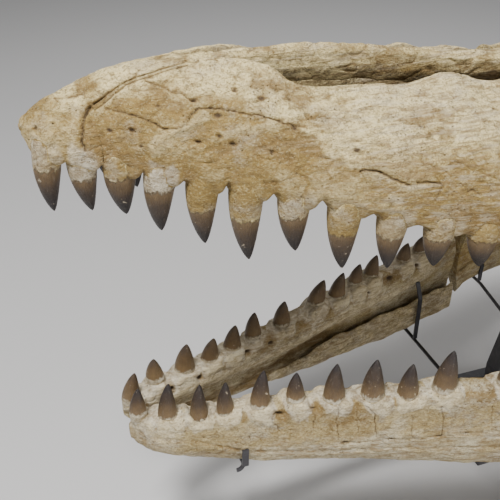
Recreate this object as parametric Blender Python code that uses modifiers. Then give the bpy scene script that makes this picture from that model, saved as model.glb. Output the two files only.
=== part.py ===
"""Fossil mosasaur skull with open jaws on a steel museum stand.

Metres, +Z up. The snout points to -X and the animal's left side is at -Y.
The origin is on the floor, below the middle of the whole mount.
Inside this file a point is given by its distance behind the first lower
tooth (x), its side (y) and its height above the front of the lower tooth
line (z); place() turns that into the model's own frame.
"""
import math

import bmesh
import bpy
from mathutils import Matrix, Vector

# Driving dimensions
MID_X = 0.588            # distance from the first lower tooth to the middle of the mount
TOOTH_LINE_RISE = 0.310  # height of the lower tooth line's front above the floor
SEAM = 0.0004            # gap between neighbouring pieces
GAPE_SLOPE = 0.240       # fall of the upper tooth line for each metre towards the back
LOWER_SLOPE = 0.068      # rise of the lower tooth line for each metre towards the back
UPPER_FRONT_Z = 0.382    # height of the upper tooth line over the first lower tooth
ROOF_GAP = 0.0022        # wider gap where two curved faces lie against each other
SNOUT_X = -0.088         # tip of the snout
SUTURE_X = -0.0140       # premaxilla and maxilla part here at the tooth margin
BAR_END_X = 0.505        # back end of the bar between the nostrils
BAR_DEEP = 0.036
MAXILLA_END_X = 0.680
DENTARY_START_X = -0.010
DENTARY_END_X = 0.606
REAR_JAW_X = 0.616
JAW_JOINT_X = 1.075
PLATE_THICK = 0.010
POST_X = 0.587           # front face of the front post
POST_DEEP = 0.030
POST_TAPER = 0.024       # how far the post's front face falls back above the jaws
FOOT_INNER_Y = 0.120     # the two feet of the base, either side of the middle
FOOT_OUTER_Y = 0.200
FOOT_START_X = 0.300
FOOT_END_X = 1.120
REAR_POST_X = 0.960
ARM_TOP_Z = -0.1215      # top of the long arm that carries the jaw rods
ROD_RADIUS = 0.003
ROD_TOE = 0.013          # length of the front rod's ends that turn forward
CLIP_THICK = 0.0028
PALATE_BAR_DEEP = 0.012
TOOTH_SIDES = 8
ARTICULAR_X = 1.0405     # front end of the bone that carries the jaw joint
JAW_END_X = 1.262
SPLENIAL_X = 0.220
HOOK_X = 0.133           # the four cross rods, from the front
CLIP_X = 0.519
STRAP_X = 0.690
TAIL_ROD_X = 0.920
CROSS_WIDE = 0.080       # flat bars of the base that join the feet
TUBE_HALF = 0.015        # half the width of the posts
BEAM_HALF = 0.012
BEAM_DEEP = 0.008
PALATE_BAR_HALF = 0.010
REAR_POST_TOP_Z = 0.208
EDGE_BEVEL = 0.001

# Teeth: distance back of each socket, and height of each crown above the gum line
UPPER_TEETH = (
    (-0.066, 0.074), (-0.032, 0.067), (0.006, 0.064), (0.046, 0.075), (0.090, 0.087),
    (0.136, 0.099), (0.187, 0.080), (0.242, 0.087), (0.296, 0.073), (0.350, 0.064),
    (0.399, 0.056), (0.444, 0.050), (0.486, 0.044), (0.524, 0.036),
)
LOWER_TEETH_LEFT = (
    (0.001, 0.040), (0.039, 0.050), (0.080, 0.054), (0.114, 0.050), (0.158, 0.054),
    (0.205, 0.042), (0.255, 0.056), (0.305, 0.057), (0.351, 0.050), (0.398, 0.056),
    (0.480, 0.046), (0.512, 0.042), (0.544, 0.036),
)
LOWER_TEETH_RIGHT = (
    (0.002, 0.040), (0.040, 0.044), (0.085, 0.048), (0.125, 0.038), (0.163, 0.042),
    (0.200, 0.045), (0.251, 0.040), (0.314, 0.048), (0.354, 0.042), (0.391, 0.038),
    (0.425, 0.040), (0.495, 0.036), (0.531, 0.034),
)
PREMAXILLA_TEETH = 2

# Profiles: (distance back, value)
ROOF_Z = ((-0.088, 0.420), (-0.072, 0.437), (-0.042, 0.453), (0.0, 0.467), (0.080, 0.475),
          (0.180, 0.477), (0.300, 0.468), (0.430, 0.446), (0.500, 0.440), (0.620, 0.424),
          (0.850, 0.376), (1.050, 0.336))
SUTURE_Z = ((-0.014, 0.430), (0.0, 0.445), (0.020, 0.457), (0.050, 0.465), (0.090, 0.470))
SUTURE_Y = ((-0.014, 0.034), (0.020, 0.031), (0.050, 0.027), (0.090, 0.019))
RIM_Z = ((0.090, 0.472), (0.130, 0.474), (0.155, 0.471), (0.172, 0.465), (0.200, 0.450), (0.247, 0.441),
         (0.338, 0.433), (0.389, 0.440), (0.430, 0.428), (0.500, 0.416), (0.560, 0.352),
         (0.620, 0.285), (0.680, 0.242))
RIM_Y = ((0.090, 0.019), (0.130, 0.015), (0.155, 0.019), (0.200, 0.044), (0.250, 0.055), (0.430, 0.058),
         (0.500, 0.068), (0.560, 0.118), (0.620, 0.176), (0.680, 0.222))
BAR_HALF = ((0.090, 0.0188), (0.130, 0.0085), (0.160, 0.0080), (0.400, 0.0095), (0.505, 0.0180))
FRONTAL_HALF = ((0.5055, 0.020), (0.540, 0.052), (0.620, 0.076), (0.720, 0.088), (0.800, 0.104))
LOWER_EDGE_Z = ((-0.010, -0.035), (0.0, -0.046), (0.030, -0.059), (0.080, -0.071),
                (0.150, -0.083), (0.270, -0.090), (0.370, -0.101), (0.510, -0.115),
                (0.630, -0.118))
REAR_JAW_TOP_Z = ((0.616, 0.046), (0.720, 0.058), (0.880, 0.075), (1.000, 0.052),
                  (1.040, 0.036))
REAR_JAW_LOW_Z = ((0.616, -0.088), (0.650, -0.078), (0.760, -0.080), (0.880, -0.086),
                  (1.000, -0.072), (1.130, -0.052), (1.262, -0.040))
REAR_JAW_Y = ((0.616, 0.197), (0.760, 0.236), (0.900, 0.266), (1.075, 0.286), (1.262, 0.280))


def place(x, y, z):
    """A point of the skull's own measures, in the model's frame."""
    return Vector((x - MID_X, y, z + TOOTH_LINE_RISE))


def along(x, stations):
    """A smooth curve through a profile's stations, held level past its ends."""
    if x <= stations[0][0]:
        return stations[0][1]
    if x >= stations[-1][0]:
        return stations[-1][1]
    slopes = [(b[1] - a[1]) / (b[0] - a[0]) for a, b in zip(stations, stations[1:])]
    for i, slope in enumerate(slopes):
        x0, v0 = stations[i]
        x1, v1 = stations[i + 1]
        if x <= x1:
            before = slopes[max(i - 1, 0)]
            after = slopes[min(i + 1, len(slopes) - 1)]
            m0 = (before + slope) / 2 if before * slope > 0 else 0.0
            m1 = (after + slope) / 2 if after * slope > 0 else 0.0
            t = (x - x0) / (x1 - x0)
            h = x1 - x0
            return (v0 * (1 + 2 * t) * (1 - t) ** 2 + m0 * h * t * (1 - t) ** 2
                    + v1 * t * t * (3 - 2 * t) + m1 * h * t * t * (t - 1))
    return stations[-1][1]


def upper_z(x):
    """Height of the upper tooth margin."""
    return UPPER_FRONT_Z - GAPE_SLOPE * x


def lower_z(x):
    """Height of the lower tooth margin."""
    return LOWER_SLOPE * x


def upper_y(x):
    """Half the distance between the two upper tooth rows."""
    s = max(x + 0.05, 0.0)
    return 0.024 + 0.010 * min(s / 0.1, 1.0) + 0.262 * s + 0.036 * s * s


def lower_y(x):
    """Half the distance between the two lower tooth rows."""
    s = max(x, 0.0)
    return 0.022 + 0.261 * s + 0.036 * s * s


def material(name, colour, rough, metal=0.0):
    mat = bpy.data.materials.new(name)
    mat.use_nodes = True
    shader = mat.node_tree.nodes["Principled BSDF"]
    shader.inputs["Base Color"].default_value = (*colour, 1.0)
    shader.inputs["Roughness"].default_value = rough
    shader.inputs["Metallic"].default_value = metal
    return mat


def add_object(name, mesh, group, mat):
    obj = bpy.data.objects.new(name, mesh)
    mesh.materials.append(mat)
    group.objects.link(obj)
    return obj


def loft_into(bm, rings):
    """Skin a row of rings, each a list of points, and close both ends."""
    rows = [[bm.verts.new(p) for p in ring] for ring in rings]
    count = len(rows[0])
    for a, b in zip(rows, rows[1:]):
        for i in range(count):
            j = (i + 1) % count
            bm.faces.new((a[i], a[j], b[j], b[i]))
    bm.faces.new(rows[0])
    bm.faces.new(rows[-1])


def finish_mesh(name, bm):
    bmesh.ops.triangulate(bm, faces=bm.faces[:])
    bmesh.ops.recalc_face_normals(bm, faces=bm.faces[:])
    mesh = bpy.data.meshes.new(name)
    bm.to_mesh(mesh)
    bm.free()
    mesh.shade_smooth()
    mesh.set_sharp_from_angle(angle=math.radians(40))
    return mesh


def loft(name, rings, group, mat):
    bm = bmesh.new()
    loft_into(bm, rings)
    return add_object(name, finish_mesh(name, bm), group, mat)


def sections(xs, side, outline):
    """Rings at the distances xs, from a function that gives (y, z) pairs for the left side."""
    return [[place(x, side * y, z) for y, z in outline(x)] for x in xs]


def tube_rings(path, sides=8):
    """Oval rings round a path of (x, y, z, half width, half height)."""
    points = [Vector(p[:3]) for p in path]
    rings = []
    for i, point in enumerate(points):
        ahead = points[min(i + 1, len(points) - 1)]
        behind = points[max(i - 1, 0)]
        forward = (ahead - behind).normalized()
        across = forward.cross(Vector((0, 0, 1)))
        if across.length < 0.2:
            across = Vector((0, 1, 0)) - forward * forward.y
        across.normalize()
        up = across.cross(forward).normalized()
        ring = []
        for k in range(sides):
            turn = 2 * math.pi * k / sides
            ring.append(place(*(point + across * path[i][3] * math.cos(turn)
                                + up * path[i][4] * math.sin(turn))))
        rings.append(ring)
    return rings


def bone_bar(name, path, group, mat, sides=8):
    return loft(name, tube_rings(path, sides), group, mat)


def tooth_into(bm, x, y, z, height, width, direction, root):
    """One tooth: a swollen root in its socket and a crown that curves back to its tip.

    direction is +1 for a tooth that points up and -1 for one that points down.
    """
    if height > 0.030:
        profile = ((-root, 0.50), (0.0, 0.53), (0.30, 0.47), (0.65, 0.29), (1.0, 0.03))
        sides = TOOTH_SIDES
    else:
        profile = ((-root, 0.50), (0.0, 0.50), (1.0, 0.05))
        sides = 5
    rings = []
    for part, reach in profile:
        rise = part if part < 0 else part * height
        back = 0.10 * height * max(part, 0.0) ** 2 - 0.02 * height * max(part, 0.0)
        ring = []
        for k in range(sides):
            turn = 2 * math.pi * k / sides
            ring.append(place(x + back + width * reach * math.cos(turn),
                              y + 0.86 * width * reach * math.sin(turn),
                              z + direction * rise))
        rings.append(ring)
    loft_into(bm, rings)


def add_teeth(bone, side_teeth, cutters):
    """Join a row of teeth to the bone that holds them."""
    bm = bmesh.new()
    for values in side_teeth:
        tooth_into(bm, *values)
    name = bone.name + "_teeth"
    row = add_object(name, finish_mesh(name, bm), cutters, bone.data.materials[0])
    row.hide_render = True
    row.display_type = "WIRE"
    join = bone.modifiers.new("teeth", "BOOLEAN")
    join.operation = "UNION"
    join.solver = "EXACT"
    join.object = row


def upper_tooth(x, height, side):
    width = 0.030 + 0.10 * (height - 0.05)
    return (x, side * upper_y(x), upper_z(x) + 0.002, height, width, -1, 0.010)


def lower_tooth(x, height, side):
    width = 0.026 if height > 0.045 else 0.022
    return (x, side * lower_y(x), lower_z(x) - 0.002, height, width, 1, 0.008)


def snout_outline(x):
    """Full section of the snout in front of the suture."""
    top = along(x, ROOF_Z)
    low = upper_z(x) if x > -0.080 else upper_z(-0.080) + (-0.080 - x) * 2.0
    t = min((x - SNOUT_X) / 0.030, 1.0)
    half = 0.007 + (upper_y(x) + 0.017 - 0.007) * math.sin(t * math.pi / 2) ** 0.8
    mid = low + (top - low) * 0.5
    right = ((half * 0.86, low), (half, low + (top - low) * 0.22), (half * 0.97, mid),
             (half * 0.72, low + (top - low) * 0.82))
    return [(-y, z) for y, z in reversed(right)] + list(right) + [(0.0, top)]


def wedge_outline(x):
    """The premaxilla behind its suture: a wedge between the maxillae, then the bar."""
    top = along(x, ROOF_Z)
    if x <= 0.090:
        half = along(x, SUTURE_Y)
        edge = along(x, SUTURE_Z)
    else:
        half = along(x, BAR_HALF)
        edge = top - 0.007
    deep = BAR_DEEP - 0.006 * min(max((0.150 - x) / 0.060, 0.0), 1.0)
    shoulder = edge + (top - edge) * 0.7
    right = ((half * 0.06, edge - deep * 0.94), (half * 0.5, edge - deep * 0.5), (half, edge),
             (half * 0.60, shoulder))
    return [(-y, z) for y, z in reversed(right)] + list(right) + [(0.0, top)]


def maxilla_edge(x):
    """Upper edge and inner keel of a maxilla: (edge y, edge z, keel y, keel z)."""
    if x <= 0.090:
        edge_z = along(x, SUTURE_Z) - SEAM
        return along(x, SUTURE_Y) + SEAM, edge_z, SEAM / 2, edge_z - 0.031
    edge_y = along(x, RIM_Y)
    edge_z = along(x, RIM_Z)
    open_up = min((x - 0.090) / 0.050, 1.0)
    wall = 0.018 + 0.008 * min(max((x - 0.500) / 0.080, 0.0), 1.0)
    keel_y = SEAM / 2 + open_up * max(edge_y - wall, 0.009)
    depth = min(0.031 + 0.008 * open_up, 0.55 * (edge_z - upper_z(x)))
    return edge_y, edge_z, keel_y, edge_z - depth


def maxilla_outline(x):
    """Section of a maxilla: tooth margin, outer wall, upper edge, inner wall, palate shelf."""
    low = upper_z(x)
    row = upper_y(x)
    outer = row + 0.017
    inner = max(row - 0.020, 0.012)
    edge_y, edge_z, keel_y, keel_z = maxilla_edge(x)
    deep = edge_z - low
    shelf_z = min(low + 0.040, keel_z - 0.002)
    return [(inner, low), (outer * 0.985, low - 0.001), (outer + 0.004, low + deep * 0.20),
            (outer * 0.93 + 0.07 * edge_y, low + deep * 0.45),
            (outer * 0.66 + 0.34 * edge_y, low + deep * 0.74),
            (outer * 0.25 + 0.75 * edge_y, low + deep * 0.94),
            (edge_y, edge_z), (keel_y, keel_z), (keel_y - 0.0002, shelf_z),
            (max(inner - 0.004, keel_y + 0.003), min(low + 0.022, shelf_z - 0.002))]


def make_premaxilla(group, cutters, bone):
    front = [SNOUT_X, -0.084, -0.076, -0.064, -0.048, -0.030, SUTURE_X]
    back = [SUTURE_X + SEAM, 0.0, 0.020, 0.050, 0.090, 0.110, 0.140, 0.200, 0.300, 0.400,
            0.460, BAR_END_X]
    rings = sections(front, 1, snout_outline) + sections(back, 1, wedge_outline)
    obj = loft("premaxilla", rings, group, bone)
    teeth = [upper_tooth(x, h, side) for side in (-1, 1) for x, h in UPPER_TEETH[:PREMAXILLA_TEETH]]
    add_teeth(obj, teeth, cutters)


def make_maxilla(name, side, group, cutters, bone):
    xs = [SUTURE_X + 2 * SEAM, 0.0, 0.020, 0.050, 0.090, 0.110, 0.140, 0.180, 0.220, 0.270,
          0.330, 0.390, 0.440, 0.490, 0.514, 0.530, 0.560, 0.600, 0.640, 0.664, MAXILLA_END_X]
    obj = loft(name, sections(xs, side, maxilla_outline), group, bone)
    add_teeth(obj, [upper_tooth(x, h, side) for x, h in UPPER_TEETH[PREMAXILLA_TEETH:]], cutters)


def dentary_outline(x):
    """Section of a dentary: margin, bulging outer wall, keel, hollowed inner wall."""
    low = along(x, LOWER_EDGE_Z)
    top = lower_z(x) if x > 0 else 1.4 * x
    row = lower_y(x)
    front = min(max((x - DENTARY_START_X) / 0.026, 0.05), 1.0) ** 0.5
    outer = row + 0.016 * front
    inner = max(row - 0.018 * front, SEAM)
    deep = top - low
    groove = 0.004 * min(max((x - 0.05) / 0.10, 0.0), 1.0)
    return [(inner, top), (outer, top), (outer + 0.004 * front, top - deep * 0.35),
            (outer + 0.006 * front, top - deep * 0.70), (outer + 0.001 * front, top - deep * 0.92),
            (row + 0.010 * front, low), (inner + 0.006 * front, top - deep * 0.90),
            (inner + 0.002 + groove, top - deep * 0.66), (inner + 0.001 + groove, top - deep * 0.50),
            (max(inner - 0.003, SEAM), top - deep * 0.24)]


def make_dentary(name, side, group, cutters, bone):
    xs = [DENTARY_START_X, -0.006, 0.004, 0.022, 0.050, 0.090, 0.140, 0.200, 0.270, 0.350, 0.430, 0.510,
          0.560, DENTARY_END_X]
    obj = loft(name, sections(xs, side, dentary_outline), group, bone)
    row = LOWER_TEETH_LEFT if side < 0 else LOWER_TEETH_RIGHT
    add_teeth(obj, [lower_tooth(x, h, side) for x, h in row], cutters)


def splenial_outline(x):
    """The splenial: a plate against the dentary's inner wall, over its groove."""
    low = along(x, LOWER_EDGE_Z)
    top = lower_z(x)
    inner = lower_y(x) - 0.018
    deep = top - low
    face = inner - 0.004 - SEAM
    grow = min((x - SPLENIAL_X) / 0.12, 1.0)
    upper = top - deep * (0.72 - 0.20 * grow)
    return [(face, top - deep * 0.84), (face - 0.002, upper), (face - 0.008, upper - 0.004),
            (face - 0.010, top - deep * 0.76), (face - 0.006, top - deep * 0.85)]


def make_splenial(name, side, group, bone):
    xs = [SPLENIAL_X, 0.260, 0.320, 0.400, 0.480, 0.550, DENTARY_END_X]
    loft(name, sections(xs, side, splenial_outline), group, bone)


def surangular_outline(x):
    top = along(x, REAR_JAW_TOP_Z)
    low = along(x, REAR_JAW_LOW_Z)
    y = along(x, REAR_JAW_Y)
    split = low + (top - low) * 0.36
    return [(y - 0.010, top), (y + 0.008, top - 0.002), (y + 0.018, top - (top - split) * 0.45),
            (y + 0.016, split), (y - 0.012, split), (y - 0.014, top - (top - split) * 0.5)]


def angular_outline(x):
    top = along(x, REAR_JAW_TOP_Z)
    low = along(x, REAR_JAW_LOW_Z)
    y = along(x, REAR_JAW_Y)
    split = low + (top - low) * 0.36 - SEAM
    return [(y - 0.013, split), (y + 0.016, split), (y + 0.012, low + (split - low) * 0.4),
            (y + 0.001, low), (y - 0.012, low + (split - low) * 0.3)]


def articular_outline(x):
    low = along(x, REAR_JAW_LOW_Z)
    y = along(x, REAR_JAW_Y)
    hollow = 0.012 * math.exp(-((x - JAW_JOINT_X) / 0.022) ** 2)
    t = (x - ARTICULAR_X) / (JAW_END_X - ARTICULAR_X)
    top = 0.038 - 0.040 * t - hollow
    half = 0.030 - 0.012 * t
    return [(y - half, top - 0.004), (y - half * 0.3, top), (y + half * 0.8, top - 0.002),
            (y + half * 0.9, (top + low) / 2), (y + half * 0.3, low), (y - half * 0.6, low + 0.004),
            (y - half, (top + low) / 2)]


def make_rear_jaw(side, word, group, bones):
    xs = [REAR_JAW_X, 0.650, 0.690, 0.740, 0.800, 0.880, 0.960, 1.000, 1.040]
    loft("surangular_" + word, sections(xs, side, surangular_outline), group, bones[0])
    loft("angular_" + word, sections(xs, side, angular_outline), group, bones[1])
    xs = [ARTICULAR_X, 1.058, JAW_JOINT_X, 1.092, 1.115, 1.160, 1.210, JAW_END_X]
    loft("articular_" + word, sections(xs, side, articular_outline), group, bones[2])
    path = []
    for x, rise, half in ((0.690, 0.007, 0.004), (0.720, 0.013, 0.010), (0.760, 0.020, 0.012),
                          (0.800, 0.030, 0.012), (0.826, 0.040, 0.008), (0.838, 0.049, 0.003)):
        top = along(x, REAR_JAW_TOP_Z) + 0.0012
        y = along(x, REAR_JAW_Y) - 0.001
        low_x = min(x, 0.826)
        base = along(low_x, REAR_JAW_TOP_Z) + 0.0012
        path.append([place(x, side * (y - half), base if x < 0.83 else top + rise * 0.5),
                     place(x, side * (y + half), base if x < 0.83 else top + rise * 0.5),
                     place(x, side * (y + half * 0.5), top + rise),
                     place(x, side * (y - half * 0.5), top + rise)])
    loft("coronoid_" + word, path, group, bones[0])


def frontal_outline(x):
    top = along(x, ROOF_Z)
    half = along(x, FRONTAL_HALF)
    thick = along(x, ((0.5055, 0.022), (0.560, 0.030), (0.800, 0.030)))
    right = ((half * 0.5, top - thick), (half * 0.96, top - thick * 0.8), (half, top - 0.012),
             (half * 0.6, top - 0.004))
    return [(-y, z) for y, z in reversed(right)] + list(right) + [(0.0, top)]


def parietal_outline(x):
    top = along(x, ROOF_Z)
    half = along(x, ((0.8005, 0.100), (0.840, 0.060), (0.900, 0.034), (0.980, 0.030),
                     (1.040, 0.048)))
    right = ((half * 0.8, top - 0.034), (half, top - 0.012), (half * 0.55, top - 0.003))
    return [(-y, z) for y, z in reversed(right)] + list(right) + [(0.0, top)]


def braincase_outline(x):
    top = along(x, ROOF_Z) - 0.0345
    half = along(x, ((0.860, 0.026), (0.960, 0.040), (1.040, 0.052), (1.060, 0.030),
                     (1.095, 0.026), (1.105, 0.014)))
    low = along(x, ((0.860, 0.270), (0.960, 0.222), (1.040, 0.196), (1.060, 0.204),
                    (1.095, 0.212), (1.105, 0.224)))
    if x > 1.045:
        top = along(x, ((1.046, 0.290), (1.060, 0.262), (1.095, 0.260), (1.105, 0.248)))
    right = ((half * 0.6, low), (half, (top + low) / 2), (half * 0.7, top))
    return [(-y, z) for y, z in reversed(right)] + list(right)


def make_roof(group, bones):
    xs = [BAR_END_X + SEAM, 0.540, 0.580, 0.640, 0.720, 0.800]
    loft("frontal", sections(xs, 1, frontal_outline), group, bones[0])
    xs = [0.800 + SEAM, 0.840, 0.880, 0.940, 1.000, 1.040]
    loft("parietal", sections(xs, 1, parietal_outline), group, bones[1])
    xs = [0.860, 0.910, 0.960, 1.000, 1.040, 1.060, 1.095, 1.105]
    loft("braincase", sections(xs, 1, braincase_outline), group, bones[0])


def prefrontal_outline(x):
    """Section of a prefrontal: a sloping roof from the frontal down to the maxilla's edge."""
    roof = along(x, ROOF_Z)
    inner = along(x, FRONTAL_HALF) + 0.0015
    edge_y, edge_z, keel_y, keel_z = maxilla_edge(x)
    edge_z += ROOF_GAP
    foot_y = edge_y + (keel_y - edge_y) * 0.4
    foot_z = edge_z + (keel_z - edge_z) * 0.4 + ROOF_GAP
    mid_y = inner * 0.45 + edge_y * 0.55
    mid_z = roof * 0.42 + edge_z * 0.58
    return [(edge_y, edge_z), (mid_y + 0.006, mid_z + 0.006), (inner + 0.004, roof - 0.010),
            (inner, roof - 0.014), (inner, roof - 0.032), (mid_y - 0.012, mid_z - 0.020),
            (foot_y, foot_z)]


def make_cheek(side, word, group, bones):
    xs = [0.514, 0.530, 0.560, 0.600, 0.640, 0.664]
    loft("prefrontal_" + word, sections(xs, side, prefrontal_outline), group, bones[1])
    bone_bar("postorbitofrontal_" + word, [
        (0.772, side * 0.112, 0.374, 0.012, 0.014), (0.800, side * 0.140, 0.366, 0.018, 0.014),
        (0.850, side * 0.176, 0.340, 0.022, 0.013), (0.900, side * 0.202, 0.318, 0.016, 0.015),
        (0.960, side * 0.222, 0.300, 0.010, 0.014), (1.000, side * 0.232, 0.288, 0.006, 0.011),
    ], group, bones[0])
    bone_bar("jugal_" + word, [
        (0.6830, side * 0.228, 0.232, 0.008, 0.009), (0.720, side * 0.238, 0.222, 0.010, 0.013),
        (0.760, side * 0.245, 0.217, 0.010, 0.014), (0.800, side * 0.248, 0.222, 0.011, 0.016),
        (0.836, side * 0.240, 0.246, 0.011, 0.015), (0.852, side * 0.224, 0.282, 0.010, 0.011),
        (0.857, side * 0.206, 0.308, 0.008, 0.009),
    ], group, bones[1])
    bone_bar("squamosal_" + word, [
        (0.925, side * 0.236, 0.288, 0.006, 0.008), (0.980, side * 0.250, 0.274, 0.010, 0.012),
        (1.040, side * 0.258, 0.262, 0.014, 0.016), (1.078, side * 0.256, 0.250, 0.018, 0.018),
        (1.100, side * 0.250, 0.246, 0.012, 0.012),
    ], group, bones[0])
    bone_bar("supratemporal_" + word, [
        (1.046, side * 0.052, 0.300, 0.010, 0.020), (1.066, side * 0.100, 0.288, 0.011, 0.020),
        (1.082, side * 0.150, 0.272, 0.012, 0.019), (1.090, side * 0.200, 0.254, 0.012, 0.016),
        (1.088, side * 0.232, 0.246, 0.010, 0.012),
    ], group, bones[1])
    bone_bar("quadrate_" + word, [
        (1.082, side * 0.258, 0.224, 0.024, 0.022), (1.094, side * 0.262, 0.200, 0.026, 0.022),
        (1.096, side * 0.268, 0.150, 0.020, 0.016), (1.088, side * 0.274, 0.100, 0.022, 0.014),
        (1.080, side * 0.278, 0.062, 0.030, 0.016), (1.076, side * 0.280, 0.036, 0.026, 0.012),
    ], group, bones[0])


def make_palate(side, word, group, cutters, bone):
    path = []
    for x, y, half in ((0.380, 0.040, 0.008), (0.420, 0.062, 0.024), (0.500, 0.090, 0.040),
                       (0.580, 0.104, 0.046), (0.620, 0.104, 0.030)):
        path.append((x, side * y, upper_z(x) + 0.012, half, 0.006))
    bone_bar("palatine_" + word, path, group, bone)
    path = []
    for x, y, half, high in ((0.624, 0.090, 0.020, 0.010), (0.700, 0.098, 0.036, 0.011),
                             (0.780, 0.104, 0.044, 0.011), (0.860, 0.110, 0.026, 0.012),
                             (0.940, 0.140, 0.014, 0.015), (1.010, 0.190, 0.008, 0.020),
                             (1.058, 0.228, 0.006, 0.020)):
        path.append((x, side * y, upper_z(x) + 0.022 + 0.030 * max(0.0, x - 0.860), half, high))
    obj = bone_bar("pterygoid_" + word, path, group, bone)
    teeth = []
    for i in range(7):
        x = 0.650 + 0.031 * i
        teeth.append((x, side * (0.092 + 0.010 * i / 6), upper_z(x) + 0.018, 0.020, 0.013, -1, 0.004))
    add_teeth(obj, teeth, cutters)
    bone_bar("ectopterygoid_" + word, [
        (0.742, side * 0.150, upper_z(0.742) + 0.022, 0.012, 0.009),
        (0.728, side * 0.180, upper_z(0.728) + 0.018, 0.012, 0.009),
        (0.716, side * 0.224, upper_z(0.716) + 0.008, 0.012, 0.010),
    ], group, bone)


def make_vomer(group, bone):
    path = []
    for x, half in ((0.104, 0.006), (0.160, 0.014), (0.220, 0.026), (0.300, 0.033), (0.400, 0.036),
                    (0.480, 0.030)):
        path.append((x, 0.0, upper_z(x) + 0.028, half, 0.008))
    bone_bar("vomer", path, group, bone)


def box(name, low, high, group, mat):
    """A square-edged steel piece between two corners, in the skull's own measures."""
    bpy.ops.mesh.primitive_cube_add(size=1.0)
    obj = bpy.context.object
    obj.name = name
    for owner in obj.users_collection:
        owner.objects.unlink(obj)
    group.objects.link(obj)
    a = place(*low)
    b = place(*high)
    size = b - a
    obj.data.transform(Matrix.Translation((a + b) / 2) @ Matrix.Diagonal((*size, 1.0)))
    obj.data.materials.append(mat)
    edge = obj.modifiers.new("edge", "BEVEL")
    edge.width = EDGE_BEVEL
    edge.segments = 1
    return obj


def rod(name, points, radius, group, mat):
    """A bent round steel rod through the points."""
    curve = bpy.data.curves.new(name, "CURVE")
    curve.dimensions = "3D"
    curve.bevel_depth = radius
    curve.bevel_resolution = 2
    curve.use_fill_caps = True
    spline = curve.splines.new("POLY")
    spline.points.add(len(points) - 1)
    for target, point in zip(spline.points, points):
        target.co = (*place(*point), 1.0)
    obj = bpy.data.objects.new(name, curve)
    obj.data.materials.append(mat)
    group.objects.link(obj)
    return obj


def cross_rod(name, x, reach, edge_z, toe, group, steel):
    """A rod bent to a shallow V: under both jaws at its ends, on the arm in the middle.

    toe is how far each end turns forward.
    """
    end_z = edge_z - ROD_RADIUS - SEAM
    middle_z = ARM_TOP_Z + ROD_RADIUS + SEAM
    flat = 0.030
    path = [(x, -reach, end_z), (x, -reach + flat, end_z), (x, -BEAM_HALF, middle_z),
            (x, BEAM_HALF, middle_z), (x, reach - flat, end_z), (x, reach, end_z)]
    if toe > 0:
        path = [(x - toe, -reach, end_z)] + path + [(x - toe, reach, end_z)]
    rod(name, path, ROD_RADIUS, group, steel)


def clip(name, x, path, wide, group, steel):
    """A flat steel strip bent against a jaw; path gives (y, z) pairs from the rod to the tip."""
    rings = []
    for y, z in path:
        rings.append([place(x - wide / 2, y, z), place(x + wide / 2, y, z),
                      place(x + wide / 2, y + CLIP_THICK, z), place(x - wide / 2, y + CLIP_THICK, z)])
    loft(name, rings, group, steel)


def make_post(name, sections_xz, group, steel):
    """An upright of square tube; sections_xz gives (height, front x, back x)."""
    rings = []
    for z, front, back in sections_xz:
        rings.append([place(front, -TUBE_HALF, z), place(back, -TUBE_HALF, z),
                      place(back, TUBE_HALF, z), place(front, TUBE_HALF, z)])
    loft(name, rings, group, steel)


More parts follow.
